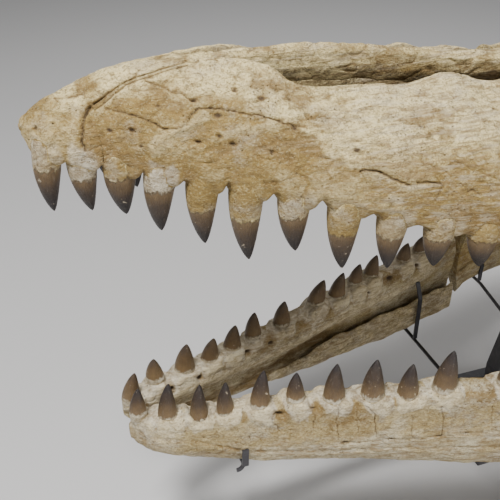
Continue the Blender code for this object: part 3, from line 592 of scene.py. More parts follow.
def settle(surface, bone, slot, word=""):
    """Raises the surface's points, joins its teeth to it and hands the bone to the frame."""
    name = bone + "_bone" + word
    raised = (surface.points + surface.normal * surface.rise[:, None]).reshape(surface.grid.shape)
    surface.stains["relief"] = np.clip(surface.rise / FULL_RELIEF, -1.0, 1.0)
    piece = placed(name, mesh_of(name, [raised], [surface.stains]))
    if surface.teeth:
        grids, marks = [], []
        for grid, crown, cement, pale in surface.teeth:
            grids.append(grid)
            blank = np.zeros(len(crown))
            tone = np.where(crown < 0, ROOT_TONE, pale)
            marks.append({"dirt_and_shade": blank, "filler": cement + blank, "tone": tone,
                          "fibre": blank, "relief": blank, "crown": crown})
        row = placed(name + "_row", mesh_of(name + "_row", grids, marks))
        join = piece.modifiers.new("teeth", "BOOLEAN")
        join.operation = "UNION"
        join.solver = "MANIFOLD"
        join.object = row
        applied(piece).name = name
        bpy.data.objects.remove(row)
    piece.data.set_sharp_from_angle(angle=BONE_CREASE)
    piece.data.materials.clear()
    piece.data.materials.append(finishes[slot])
    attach(piece, "root")
    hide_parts(bone + word)


def mirrored(right, *top):
    """A whole outline from its right half's corners, with a last corner in the middle above."""
    return [(-y, z) for y, z in reversed(right)] + right + [(0.0 * z, z) for z in top]


def face_corners(x, edge_y, edge_z):
    """The upper jaw's outer face: corners from the tooth margin up to the bone's upper edge."""
    low = upper_z(x)
    outer = upper_y(x) + FACE_OUT
    deep = edge_z - low
    return [(outer * 0.985, low - 0.001), (outer + 0.0015, low + deep * 0.2),
            (outer * 0.93 + 0.07 * edge_y, low + deep * 0.45),
            (outer * 0.66 + 0.34 * edge_y, low + deep * 0.74),
            (outer * 0.25 + 0.75 * edge_y, low + deep * 0.94), (edge_y, edge_z)]


def snout_section(x):
    """The tip of the snout, narrowed and cut back towards its point."""
    top = along(x, ROOF_Z)
    t = np.clip((x - SNOUT_X) / 0.03, 0.0, 1.0)
    full = upper_y(x) + FACE_OUT
    narrow = (0.007 + (full - 0.007) * np.sin(t * math.pi / 2) ** 0.8) / full
    front_low = upper_z(-0.08) + (-0.08 - x) * 2.0
    low = np.where(x > -0.08, upper_z(x), front_low)
    squat = (top - low) / (top - upper_z(x))
    half = [(y * narrow, top - (top - z) * squat)
            for y, z in face_corners(x, along(x, SUTURE_Y), along(x, SUTURE_Z))]
    edge_y, edge_z = half[-1]
    return mirrored(half + [(edge_y * 0.6, edge_z + (top - edge_z) * 0.7)], top)


def wedge_section(x):
    """The wedge between the two maxillae, and the bar that goes on behind it."""
    top = along(x, ROOF_Z)
    half = np.where(x <= 0.09, along(x, SUTURE_Y) - 0.0004, along(x, BAR_HALF))
    edge = np.where(x <= 0.09, along(x, SUTURE_Z), top - 0.007)
    deep = 0.038 - 0.008 * np.clip((0.15 - x) / 0.06, 0.0, 1.0)
    shoulder = edge + (top - edge) * 0.7
    full = 0.5 + 0.32 * np.clip((x - 0.1) / 0.06, 0.0, 1.0)
    right = [(half * 0.06, edge - deep * 0.94), (half * full, edge - deep * 0.5), (half, edge),
             (half * 0.6, shoulder)]
    return mirrored(right, top)


# upper teeth: distance back, height below the gum, width, lean of the tip, start of the enamel
UPPER_TEETH = (
    (-0.066, 0.073, 0.032, -0.001, 0.017), (-0.0325, 0.068, 0.0335, 0.006, 0.024),
    (0.0057, 0.0625, 0.0375, 0.0028, 0.012), (0.0458, 0.073, 0.037, -0.002, 0.016),
    (0.0892, 0.082, 0.0385, 0.0013, 0.033), (0.135, 0.096, 0.041, 0.004, 0.034),
    (0.186, 0.0735, 0.0395, 0.0045, 0.021), (0.2416, 0.087, 0.042, 0.0029, 0.032),
    (0.2954, 0.075, 0.0395, 0.0002, 0.025), (0.3493, 0.0605, 0.041, -0.0014, 0.017),
    (0.398, 0.052, 0.04, 0.0035, 0.008), (0.444, 0.048, 0.034, 0.003, 0.01),
    (0.486, 0.042, 0.031, 0.003, 0.009), (0.524, 0.035, 0.028, 0.0025, 0.008),
)
# how white the cement of each upper tooth's root is
ROOT_WHITE = (0.42, 0.55, 0.22, 0.62, 0.12, 0.26, 0.36, 0.27, 0.4, 0.34, 0.28, 0.3, 0.3, 0.3)
# how far the gum rises between neighbouring teeth
GUM_RISE = ((-0.049, -0.001), (-0.013, 0.003), (0.026, 0.005), (0.066, 0.001), (0.111, 0.01),
            (0.16, 0.005), (0.213, 0.008), (0.268, 0.001), (0.32, -0.003), (0.37, -0.004),
            (0.45, 0.003))


def beside_teeth(x, teeth):
    """How far each x is from its nearest tooth's middle, in halves of that tooth's width."""
    return np.min([np.abs(x - tooth[0]) / (0.5 * tooth[2]) for tooth in teeth], axis=0)


def scallop(surface, teeth):
    """Lets the gum climb between the upper teeth and run down on to each whitened root."""
    x = surface.points[:, 0]
    above = surface.points[:, 2] - upper_z(x)
    aside = beside_teeth(x, teeth)
    gap = ease(aside, 0.8, 1.3)
    low = 1 - ease(above, 0.0, 0.022)
    surface.points[:, 2] += gap * (along(x, GUM_RISE) + 0.0015) * low
    outward = (np.abs(surface.normal[:, 1]) > 0.3) * 1.0
    onto = (1 - ease(aside, 0.55, 1.22)) * (1 - ease(above, -0.002, 0.018))
    surface.points[:, 2] -= 0.007 * onto
    surface.points[:, 1] -= 0.0016 * onto * np.sign(surface.points[:, 1]) * outward
    surface.rise -= 0.0006 * gap * (1 - ease(above, 0.004, 0.035)) * outward
    surface.fade *= 1 - 0.75 * onto
    surface.stain("dirt_and_shade", 0.2 * gap * (1 - ease(above, 0.0, 0.014)))
    cement = np.interp(x, [tooth[0] for tooth in UPPER_TEETH], ROOT_WHITE)
    ragged = 0.005 * lumps(surface.points, 0.012, 63, 3)
    around = (1 - ease(aside, 0.7, 1.1)) * (1 - ease(above + ragged, 0.012, 0.023))
    surface.stain("filler", cement * around * outward)


def face_tone(points):
    """Cream above and ochre towards the gum, in drifts."""
    high = points[:, 2] - upper_z(points[:, 0]) + 0.02 * lumps(points, 0.05, 77, 3)
    high += 0.03 * ease(-points[:, 0], 0.0, 0.05)
    return 0.95 - 1.55 * ease(high, 0.04, 0.112)


TOOTH_SUNK = 0.002
INWARD_CURL = 0.05       # share of a tooth's height by which its tip bends inwards


def upper_tooth(surface, values, side, shift):
    x, height, width, lean, start = values
    base = (x + shift, side * (upper_y(x) + 0.0012), upper_z(x) + TOOTH_SUNK)
    cement = ROOT_WHITE[UPPER_TEETH.index(values)]
    curl = -side * INWARD_CURL * height
    surface.tooth(base, height + TOOTH_SUNK, width, lean, start, -1, curl, cement, 0.05)


snout_xs = np.concatenate([SNOUT_X + 0.03 * np.linspace(0.0, 1.0, 26) ** 1.6,
                           np.linspace(-0.0565, SEAM_X + 0.0006, 32)])
snout_shares = (10, 8, 14, 18, 18, 12, 20, 12, 18, 18, 14, 8, 10, 10, 10)
wedge_xs = np.concatenate([np.linspace(SEAM_X + 0.0004, 0.16, 104), np.linspace(0.163, 0.505, 170)])
wedge_shares = (10, 30, 34, 32, 34, 30, 10, 10, 10)
snout_grid = lofted(snout_xs, snout_section, snout_shares, 1, front=0.002)[:-4]
wedge_grid = lofted(wedge_xs, wedge_section, wedge_shares, 1)[4:]
premaxilla = Surface(np.concatenate([snout_grid, wedge_grid]), flat="back")
FACE_SEED = 3
scallop(premaxilla, UPPER_TEETH[:3])
premaxilla.weather(FACE_SEED, big=0.0017, small=0.00075)
SEAM_PATH = [(-0.0171, 0.4417), (-0.006, 0.445), (0.003, 0.4505), (0.012, 0.458), (0.02, 0.4622),
             (0.034, 0.466), (0.05, 0.4686), (0.069, 0.4722), (0.09, 0.4735)]
SUTURE_FRONT = [(-0.0305, 0.403), (-0.0315, 0.4118), (-0.0288, 0.4254), (-0.0252, 0.4345),
                (-0.0171, 0.4417)]
SUTURE_GAP = [(-0.014, 0.4425), (-0.004, 0.4475), (0.0045, 0.4535)]
# cracks from here on: path of distances and heights, width, depth, and how dark its bottom is painted, as
# dirt and painted shade
SUTURE_CRACKS = ((SEAM_PATH, 0.0017, 0.0026, 0.5), (SUTURE_GAP, 0.0028, 0.0034, 0.55))
for toward in (-1, 1):
    premaxilla.crack(SUTURE_FRONT, 0.0017, 0.0034, toward, 0.7)
    for crack in SUTURE_CRACKS:
        premaxilla.crack(*crack[:3], toward, crack[3])
    premaxilla.crack([(-0.0486, 0.4485), (-0.0401, 0.4498), (-0.0239, 0.454), (-0.0165, 0.458)],
                     0.0018, 0.0016, toward, 0.45)
    premaxilla.ridge([(-0.04, 0.418), (-0.034, 0.43), (-0.026, 0.44)], 0.005, 0.0012, toward)
    premaxilla.pit(-0.0754, 0.425, 0.0022, 0.004, toward, 1.2)
    premaxilla.pit(-0.056, 0.43, 0.0012, 0.0016, toward, 1.6, 0.5)
    premaxilla.crack([(-0.01, 0.462), (-0.002, 0.4655), (0.012, 0.468)], 0.0012, 0.001, toward, 0.35)
bar_side = ease(premaxilla.points[:, 0], 0.1, 0.16)
# how far below the bar's top, with a wavy edge between its pale side and darker underside
hang = along(premaxilla.points[:, 0], ROOF_Z) - premaxilla.points[:, 2]
hang = hang + 0.004 * lumps(premaxilla.points, 0.024, 8, 3)
under = ease(hang, 0.02, 0.028)
premaxilla.rise -= 0.0006 * bar_side * ease(hang, 0.008, 0.013) * (1 - ease(hang, 0.018, 0.026))
premaxilla.stains["tone"] = face_tone(premaxilla.points) * (1 - bar_side) - 0.35 * bar_side * (1 - under)
premaxilla.stains["fibre"] = 0.12 + 0.4 * bar_side
premaxilla.stains["filler"] += 0.26 * bar_side * ease(hang, 0.006, 0.01) * (1 - under)
premaxilla.stain("dirt_and_shade", 0.38 * bar_side * under)
for side, shift in ((-1, 0.0), (1, 0.006)):
    for values in UPPER_TEETH[:2]:
        upper_tooth(premaxilla, values, side, shift)
settle(premaxilla, "premaxilla", "ochre_bone")


# Maxillae
# The two long upper jaw bones with their twelve sockets. The photographed left one is swollen
# and cracked in front and fibrous behind, with a row of nerve openings above the gum.
RIM_Z = ((0.09, 0.4735), (0.118, 0.4765), (0.134, 0.476), (0.155, 0.473), (0.17, 0.468),
         (0.184, 0.463), (0.196, 0.4535), (0.212, 0.447), (0.247, 0.441), (0.285, 0.439),
         (0.336, 0.434), (0.369, 0.4385), (0.389, 0.44), (0.43, 0.428), (0.5, 0.416),
         (0.56, 0.352), (0.62, 0.285), (0.68, 0.242))
RIM_Y = ((0.09, 0.019), (0.118, 0.0165), (0.134, 0.018), (0.155, 0.0215), (0.17, 0.028),
         (0.184, 0.035), (0.196, 0.043), (0.212, 0.049), (0.25, 0.055), (0.43, 0.058),
         (0.5, 0.068), (0.56, 0.118), (0.62, 0.176), (0.68, 0.222))
LEFT_CRACKS = (
    ([(0.0435, 0.465), (0.0522, 0.4622), (0.0634, 0.4576)], 0.0011, 0.0013, 0.6),
    ([(-0.0013, 0.4424), (0.0128, 0.4406), (0.0289, 0.4358), (0.04, 0.4307), (0.0516, 0.4241)],
     0.0011, 0.0016, 0.7),
    ([(0.0516, 0.4241), (0.0629, 0.4242), (0.0727, 0.4272), (0.0793, 0.435), (0.0878, 0.4416),
      (0.102, 0.4409), (0.1159, 0.4383), (0.133, 0.4345), (0.1513, 0.4316), (0.1661, 0.4261),
      (0.1792, 0.4216), (0.1916, 0.4188)], 0.0012, 0.0019, 0.8),
    ([(0.0289, 0.4358), (0.0341, 0.4309), (0.0503, 0.443), (0.0628, 0.4561), (0.0797, 0.4534)],
     0.001, 0.001, 0.45),
    ([(0.0634, 0.4576), (0.072, 0.456), (0.08, 0.45), (0.0852, 0.4485)], 0.001, 0.0012, 0.55),
    ([(0.1159, 0.4704), (0.1125, 0.4644), (0.1084, 0.4572)], 0.0009, 0.0008, 0.35),
    ([(0.2115, 0.4362), (0.2107, 0.4302), (0.2114, 0.4249)], 0.0009, 0.0009, 0.45),
    ([(0.1916, 0.4188), (0.2326, 0.4037), (0.2748, 0.3933), (0.3165, 0.3773), (0.3566, 0.3586),
      (0.4005, 0.349)], 0.0014, 0.001, 0.25),
    ([(0.22, 0.4291), (0.2636, 0.4221), (0.3169, 0.4097), (0.3622, 0.409), (0.4147, 0.3959)],
     0.0012, 0.0009, 0.25),
    ([(0.187, 0.3964), (0.2177, 0.3845), (0.2492, 0.3776)], 0.0012, 0.0008, 0.3),
    ([(0.3454, 0.4169), (0.3851, 0.4097), (0.4235, 0.403)], 0.0012, 0.0009, 0.25),
    ([(0.3551, 0.3751), (0.3798, 0.363), (0.4007, 0.3542), (0.43, 0.343)], 0.0013, 0.0013, 0.4),
    ([(0.2496, 0.3716), (0.2561, 0.3718), (0.2647, 0.3713), (0.2752, 0.366), (0.2857, 0.3602),
      (0.3017, 0.354)], 0.0014, 0.0026, 0.85),
    ([(0.3095, 0.3557), (0.3238, 0.3559), (0.3378, 0.3531), (0.3342, 0.3448), (0.3294, 0.3366)],
     0.0013, 0.0022, 0.7),
    ([(0.3637, 0.3435), (0.3681, 0.3454), (0.3725, 0.3452), (0.3779, 0.3406)], 0.0013, 0.0022, 0.75),
    ([(0.2496, 0.3716), (0.2524, 0.3642), (0.2552, 0.3578)], 0.001, 0.0012, 0.5),
    ([(0.1792, 0.4216), (0.17, 0.412), (0.156, 0.404), (0.145, 0.402)], 0.0011, 0.001, 0.4),
    ([(0.06, 0.39), (0.064, 0.398), (0.07, 0.404)], 0.001, 0.0008, 0.3),
)
RIDGE_HIGH = 1.3
# swollen edges: path, width, height
LEFT_RIDGES = (
    ([(0.04, 0.403), (0.0423, 0.4093), (0.045, 0.4141), (0.0507, 0.4186), (0.0619, 0.4222),
      (0.0781, 0.427), (0.0946, 0.433)], 0.0045, 0.0024),
    ([(0.1002, 0.4114), (0.1116, 0.4171), (0.128, 0.4205), (0.1438, 0.4213), (0.1597, 0.4211)],
     0.0045, 0.0022),
    ([(0.24, 0.379), (0.2561, 0.379), (0.2752, 0.374), (0.3017, 0.362)], 0.005, 0.0016),
    ([(0.245, 0.436), (0.27, 0.4345), (0.3, 0.43)], 0.005, 0.0014),
)
# nerve openings from here on: distance, height, radius, depth, length in radii
LEFT_OPENINGS = (
    (-0.003, 0.4235, 0.0028, 0.0026, 1.4), (0.0182, 0.4238, 0.0026, 0.0036, 1.6),
    (0.048, 0.4453, 0.002, 0.0026, 1.5), (0.0852, 0.4485, 0.0024, 0.005, 1.8),
    (0.1298, 0.4542, 0.003, 0.003, 1.2), (0.157, 0.4461, 0.0034, 0.0026, 1.5),
    (0.1889, 0.4419, 0.0026, 0.003, 1.5), (0.0817, 0.4105, 0.0021, 0.0048, 2.0),
    (0.106, 0.4147, 0.0021, 0.004, 1.4), (0.1178, 0.4068, 0.0022, 0.0042, 1.6),
    (0.1068, 0.4344, 0.003, 0.0014, 1.8), (0.1571, 0.3966, 0.0022, 0.002, 1.5),
    (0.2467, 0.3916, 0.003, 0.0012, 2.0), (0.3269, 0.4067, 0.002, 0.0024, 1.4),
    (0.025, 0.408, 0.0016, 0.0014, 1.6), (0.185, 0.418, 0.0024, 0.003, 1.5),
)


def maxilla_edge(x):
    """Upper edge and inner keel: (edge y, edge z, keel y, keel z)."""
    front = x <= 0.09
    edge_y = np.where(front, along(x, SUTURE_Y), along(x, RIM_Y))
    edge_z = np.where(front, along(x, SUTURE_Z), along(x, RIM_Z)) - 0.0004
    open_up = np.clip((x - 0.09) / 0.05, 0.0, 1.0)
    wall = 0.018 + 0.008 * np.clip((x - 0.5) / 0.08, 0.0, 1.0)
    keel_y = 0.0004 + open_up * np.maximum(edge_y - wall, 0.009)
    depth = np.minimum(0.033 + 0.006 * open_up, 0.55 * (edge_z - upper_z(x)))
    return edge_y, edge_z, keel_y, edge_z - depth


def maxilla_section(x):
    """Corners from the gum's inner edge, up the outer face, over the rim and down the inner wall."""
    low = upper_z(x)
    inner = np.maximum(upper_y(x) - 0.02, 0.012)
    edge_y, edge_z, keel_y, keel_z = maxilla_edge(x)
    shelf_z = np.minimum(low + 0.04, keel_z - 0.002)
    return [(inner, low), *face_corners(x, edge_y, edge_z), (keel_y, keel_z),
            (keel_y - 0.0002, shelf_z),
            (np.maximum(inner - 0.004, keel_y + 0.003), np.minimum(low + 0.022, shelf_z - 0.002))]


maxilla_xs = np.concatenate([np.linspace(SEAM_X + 0.0004, 0.45, 262), np.linspace(0.4525, 0.68, 84)])
maxilla_shares = (18, 20, 28, 28, 22, 14, 14, 14, 14, 12)
SIDES = ((-1, "_left"), (1, "_right"))
for side, word in SIDES:
    maxilla = Surface(lofted(maxilla_xs, maxilla_section, maxilla_shares, side), flat="both")
    scallop(maxilla, UPPER_TEETH[1:])
    seed = 3 if side < 0 else 31
    maxilla.weather(FACE_SEED, big=0.0017, small=0.00075)
    x, _, z = maxilla.points.T
    # strands and two wrinkled patches, drawn on a slope that follows the tooth line
    strand = ease(x, 0.16, 0.3)
    drawn = maxilla.points.copy()
    drawn[:, 2] += 0.3 * x
    maxilla.rise += strand * 0.00105 * lumps(drawn, 0.011, seed + 23, 4, (6.0, 1.0, 1.0))
    maxilla.rise += 0.0011 * lumps(drawn, 0.026, seed + 29, 2, (2.5, 1.0, 1.0))
    drawn[:, 2] += 0.25 * x
    wrinkled = np.exp(-((x - 0.21) / 0.05) ** 2 - ((z - 0.4) / 0.024) ** 2)
    wrinkled += 0.8 * np.exp(-((x - 0.36) / 0.06) ** 2 - ((z - 0.372) / 0.022) ** 2)
    maxilla.rise += wrinkled * 0.0013 * lumps(drawn, 0.009, seed + 37, 3, (4.5, 1.0, 1.0))
    shift = 0.0 if side < 0 else 0.011
    for path, width, depth, dirt_and_shade in LEFT_CRACKS:
        moved = [(a + shift, b - 0.5 * shift * (a > 0.1)) for a, b in path]
        maxilla.crack(moved, width, depth, side, dirt_and_shade, seed)
    for path, width, height in LEFT_RIDGES:
        maxilla.ridge([(a + shift, b) for a, b in path], width, RIDGE_HIGH * height, side)
    for a, b, radius, depth, long in LEFT_OPENINGS:
        maxilla.pit(a + 0.5 * shift, b, radius, depth, side, long)
    for crack in SUTURE_CRACKS:
        maxilla.crack(*crack[:3], side, crack[3])
    inside = (maxilla.normal[:, 1] * side < -0.25) * 1.0
    maxilla.stains["tone"] = face_tone(maxilla.points)
    maxilla.stains["fibre"] = 0.12 + 0.55 * strand
    chalky = z - upper_z(x) + 0.1 * (x - 0.3) + 0.02 * lumps(maxilla.points, 0.04, 87, 3)
    maxilla.stain("filler", 0.32 * ease(chalky, 0.075, 0.112) * strand)
    # painted shade: the inner wall, which faces in, is painted dark all over
    maxilla.stain("dirt_and_shade", 0.46 * inside)
    for number, values in enumerate(UPPER_TEETH[2:]):
        jitter = 0.0 if side < 0 else 0.003 * math.sin(5.0 * number)
        upper_tooth(maxilla, values, side, jitter)
    settle(maxilla, "maxilla", "cream_bone", word)


# Dentaries
# The two tooth-bearing bones of the lower jaw. Their teeth stand in collars of white filler, and
# the inner face has a pale ledge over the long groove that ran back along the jaw.
LOWER_EDGE_Z = ((-0.01, -0.035), (0.0, -0.046), (0.03, -0.059), (0.08, -0.071), (0.15, -0.083),
                (0.27, -0.09), (0.37, -0.101), (0.51, -0.115), (0.63, -0.118))
# lower teeth: distance back, height of the crown's foot, crown, width, lean of the tip
LEFT_TEETH = (
    (0.002, 0.008, 0.04, 0.0235, 0.003), (0.0395, 0.0, 0.053, 0.0265, 0.004),
    (0.08, -0.007, 0.056, 0.0255, 0.003), (0.114, 0.001, 0.05, 0.0245, 0.002),
    (0.159, 0.012, 0.055, 0.028, 0.006), (0.205, 0.021, 0.041, 0.026, 0.001),
    (0.255, 0.017, 0.056, 0.0305, 0.003), (0.305, 0.02, 0.057, 0.033, 0.004),
    (0.351, 0.016, 0.051, 0.03, 0.005), (0.398, 0.028, 0.058, 0.034, 0.009),
    (0.48, 0.033, 0.046, 0.03, 0.006), (0.512, 0.035, 0.042, 0.028, 0.006),
    (0.544, 0.037, 0.036, 0.026, 0.005),
)
RIGHT_TEETH = (
    (0.001, -0.006, 0.045, 0.026, 0.008), (0.0395, 0.012, 0.035, 0.026, -0.001),
    (0.085, 0.005, 0.046, 0.03, 0.004), (0.125, 0.004, 0.038, 0.027, 0.007),
    (0.163, 0.008, 0.041, 0.027, 0.005), (0.2, 0.013, 0.044, 0.026, 0.001),
    (0.251, 0.012, 0.043, 0.028, 0.003), (0.314, 0.026, 0.04, 0.029, 0.012),
    (0.355, 0.019, 0.045, 0.028, 0.009), (0.392, 0.03, 0.036, 0.025, 0.006),
    (0.425, 0.032, 0.038, 0.026, 0.007), (0.495, 0.033, 0.034, 0.026, 0.005),
    (0.531, 0.037, 0.03, 0.025, 0.004),
)
CRACK_OPEN = 1.25
CRACK_DEEP = 1.3
OUTER_CRACKS = (
    ([(0.2564, 0.0174), (0.2528, -0.0093), (0.2563, -0.0443)], 0.0009, 0.001, 0.55),
    ([(0.2254, 0.0005), (0.2216, -0.0278)], 0.0008, 0.0009, 0.5),
    ([(0.2786, 0.0025), (0.2823, -0.0317)], 0.0008, 0.0009, 0.5),
    ([(0.2913, 0.0134), (0.3021, 0.0012), (0.3067, -0.0421)], 0.001, 0.0012, 0.6),
    ([(0.3521, -0.0064), (0.355, -0.0452)], 0.0009, 0.001, 0.5),
    ([(0.3878, 0.0086), (0.395, -0.0171), (0.3938, -0.0456)], 0.001, 0.0012, 0.6),
    ([(0.4561, 0.0054), (0.4601, -0.0293)], 0.0008, 0.0009, 0.45),
    ([(0.1685, -0.0011), (0.1809, -0.0251)], 0.001, 0.0012, 0.55),
    ([(0.2592, -0.0517), (0.3124, -0.0479), (0.3659, -0.0476), (0.4324, -0.0424), (0.4721, -0.039)],
     0.001, 0.0008, 0.35),
    ([(0.0119, -0.0216), (0.0751, -0.0348), (0.1403, -0.0589), (0.2469, -0.0633), (0.3409, -0.0653),
      (0.4769, -0.071)], 0.002, 0.0008, 0.1),
)
OUTER_OPENINGS = (
    (0.2658, -0.0504, 0.0022, 0.003, 3.2), (0.327, -0.047, 0.0016, 0.0024, 3.4),
    (0.3898, -0.0454, 0.0017, 0.0024, 3.2), (0.4283, -0.0422, 0.0015, 0.002, 3.0),
    (0.1404, -0.0293, 0.0014, 0.0014, 1.5), (0.0794, -0.0265, 0.0014, 0.0014, 1.5),
    (0.015, -0.03, 0.0016, 0.0016, 1.4),
)
BROKEN_SOCKETS = ((0.179, 0.005, 0.005, 0.008, 1.0), (0.223, 0.0125, 0.004, 0.007, 1.2))
INNER_PITS = (
    (0.0604, -0.0062, 0.006, 0.006, 1.3), (0.1016, -0.005, 0.005, 0.005, 1.1),
    (0.1837, 0.0028, 0.0045, 0.005, 1.1), (0.2257, 0.0003, 0.0042, 0.0046, 1.5),
    (0.4108, 0.0158, 0.003, 0.003, 1.0), (0.46, 0.023, 0.008, 0.006, 1.1),
    (0.516, 0.027, 0.005, 0.004, 1.2),
)


def dentary_section(x):
    """Corners from the gum down the outer face, round the lower edge and up the grooved inside."""
    low = along(x, LOWER_EDGE_Z)
    top = np.where(x > 0, lower_z(x), 1.4 * x)
    row = lower_y(x)
    front = np.clip((x + 0.01) / 0.026, 0.05, 1.0) ** 0.5
    outer = row + 0.016 * front
    inner = np.maximum(row - 0.018 * front, 0.0004)
    deep = top - low
    groove = 0.004 * np.clip((x - 0.05) / 0.1, 0.0, 1.0)
    return [(inner, top), (outer, top), (outer + 0.004 * front, top - deep * 0.35),
            (outer + 0.006 * front, top - deep * 0.7), (outer + 0.001 * front, top - deep * 0.92),
            (row + 0.01 * front, low), (inner + 0.006 * front, top - deep * 0.9),
            (inner + 0.002 + groove, top - deep * 0.66), (inner + 0.001 + groove, top - deep * 0.5),
            (np.maximum(inner - 0.003, 0.0004), top - deep * 0.24)]


dentary_xs = np.concatenate([-0.01 + 0.014 * np.linspace(0.0, 1.0, 14) ** 1.4,
                             np.linspace(0.0055, 0.48, 256), np.linspace(0.4825, 0.606, 50)])
dentary_shares = (18, 24, 24, 16, 12, 12, 16, 12, 18, 18)
for (side, word), teeth in zip(SIDES, (LEFT_TEETH, RIGHT_TEETH)):
    dentary = Surface(lofted(dentary_xs, dentary_section, dentary_shares, side, front=0.0015))
    seed = 57 if side < 0 else 83
    x = dentary.points[:, 0]
    below = lower_z(np.maximum(x, 0.0)) - dentary.points[:, 2]
    sockets = [(tooth[0], 0, tooth[3]) for tooth in teeth]
    aside = beside_teeth(x, sockets)
    near = 1 - ease(aside, 0.55, 1.35)
    # the gum follows the feet of the crowns
    feet = np.array([(tooth[0], tooth[1] - lower_z(tooth[0])) for tooth in teeth])
    drop = np.interp(x, feet[:, 0], feet[:, 1])
    dentary.points[:, 2] += near * np.clip(drop, -0.012, 0.004) * (1 - ease(below, 0.0, 0.02))
    dentary.points[:, 2] -= 0.0025 * (1 - near) * (1 - ease(below, 0.0, 0.012))
    sideways = ease(np.abs(dentary.normal[:, 1]), 0.2, 0.7)
    # plaster round the teeth, widest in front and ragged below
    spread = 0.86 + 0.25 * (1 - ease(x, 0.02, 0.14)) - below / 0.03 - 0.85 * ease(aside, 0.7, 1.7)
    spread += 0.36 * lumps(dentary.points, 0.02, seed + 2, 2) + 0.18 * lumps(dentary.points, 0.007, seed, 2)
    plaster = ease(spread, -0.05, 0.6)
    dentary.rise += 0.0018 * sideways * plaster * (1 - ease(below, 0.01, 0.036))
    dentary.rise -= 0.002 * sideways * ease(aside, 1.0, 1.5) * (1 - ease(below, 0.004, 0.024))
    dentary.weather(seed, big=0.0011, small=0.00055)
    lower = ease(below, 0.045, 0.075)
    dentary.rise += (0.2 + lower) * 0.00032 * lumps(dentary.points, 0.009, seed + 23, 3,
                                                   (8.0, 1.0, 0.7))
    for path, width, depth, dirt_and_shade in OUTER_CRACKS:
        moved = [(a - 0.006 * (side > 0), b) for a, b in path]
        dentary.crack(moved, CRACK_OPEN * width, CRACK_DEEP * depth, side, dirt_and_shade, seed)
    for a, b, radius, depth, long in OUTER_OPENINGS:
        dentary.pit(a - 0.004 * (side > 0), b, radius, depth, side, long)
    for a, b, radius, depth, long in BROKEN_SOCKETS:
        dentary.pit(a, b, radius, depth, side, long)
    for a, b, radius, depth, long in INNER_PITS:
        dentary.pit(a, b, radius, depth, -side, long, 0.8)
    ledge = [(0.06, -0.018), (0.1028, -0.019), (0.1884, -0.0268), (0.2791, -0.021),
             (0.375, -0.0072), (0.4832, -0.0108), (0.5487, 0.0039)]
    dentary.ridge(ledge, 0.009, 0.0028, -side)
    on_ledge = np.exp(-(dentary.reach(ledge, -side) / 0.01) ** 2)
    # the hollow below the ledge is painted dark brown: painted shade in the groove
    dentary.crack([(0.07, -0.052), (0.1287, -0.066), (0.1721, -0.066), (0.2116, -0.062),
                   (0.2536, -0.05), (0.2815, -0.043), (0.3294, -0.037)], 0.0075, 0.004, -side, 0.3)
    inside = ease(-side * dentary.normal[:, 1], 0.1, 0.5)
    deep_in = ease(below, 0.048, 0.07) * inside
    # white plaster round the teeth; on the far jaw it is painted about twice as white, as painted light for
    # a jaw that lies in shade
    whiter = 0.92 if side < 0 else 1.9
    chin = 0.42 * (1 - ease(x, 0.02, 0.1)) * (1 - inside)
    dentary.stains["filler"] = np.maximum(whiter * plaster, chin)
    # the far jaw's inner face is painted paler all over too: painted light
    dentary.stains["filler"] += (0.55 * on_ledge + 0.22 * inside * (side > 0)) * (1 - plaster)
    dentary.stains["filler"] += 0.34 * lower * (1 - inside) * (1 - plaster)
    drift = lumps(dentary.points, 0.045, seed + 31, 3)
    dentary.stains["tone"] = 0.2 - 0.45 * lower * (1 - inside) - 0.2 * inside + 0.7 * drift
    dentary.stains["fibre"] = 0.15 + 0.5 * np.maximum(lower, 0.6 * inside)
    # painted shade low on the inner face, over the groove
    dentary.stain("dirt_and_shade", 0.24 * deep_in)
    # the far teeth get paler enamel than the near ones: painted light for teeth that lie in the upper jaw's
    # shade
    out, pale = (0.0035, 0.35) if side < 0 else (-0.0015, 0.95)
    for a, foot, height, width, lean in teeth:
        base = (a, side * (lower_y(a) + out), foot)
        dentary.tooth(base, height, width, lean, 0.0045, 1, -side * INWARD_CURL * height, 0.75, pale)
    settle(dentary, "dentary", "pale_bone", word)


# Splenials
# A thin plate on the inner face of each dentary, over its groove. It ends behind in the joint
# that let the lower jaw bend.
def plain_bone(piece, bone, slot, word, seed, roughness, fibre, tone):
    """Finishes a bone that has no cracks of its own; roughness is the height of its swellings,
    lumps and strands."""
    piece.weather(seed, *roughness)
    piece.stains["fibre"] += fibre
    piece.stains["tone"] += tone
    settle(piece, bone, slot, word)


def splenial_section(x):
    """A thin plate whose upper and lower edges wander a little."""
    top = lower_z(x)
    deep = top - along(x, LOWER_EDGE_Z)
    face = lower_y(x) - 0.0224
    grow = np.clip((x - 0.22) / 0.12, 0.0, 1.0)
    upper = top - deep * (0.72 - 0.2 * grow)
    upper = upper + 0.0022 * np.sin(61.0 * x) + 0.0014 * np.sin(147.0 * x)
    lower = top - deep * (0.8 + 0.05 * grow) + 0.0014 * np.sin(37.0 * x) + 0.0011 * np.sin(96.0 * x)
    return [(face, lower), (face - 0.002, upper), (face - 0.007, upper - 0.004),
            (face - 0.008, top - deep * 0.76), (face - 0.005, lower - 0.001)]


for side, word in SIDES:
    grid = lofted(np.linspace(0.22, 0.606, 180), splenial_section, (26, 12, 22, 12, 10), side)
    splenial = Surface(grid)
    splenial.stains["filler"] += 0.46
    plain_bone(splenial, "splenial", "cream_bone", word, 101 + side, (0.0007, 0.0004, 0.00025), 0.6, -0.2)


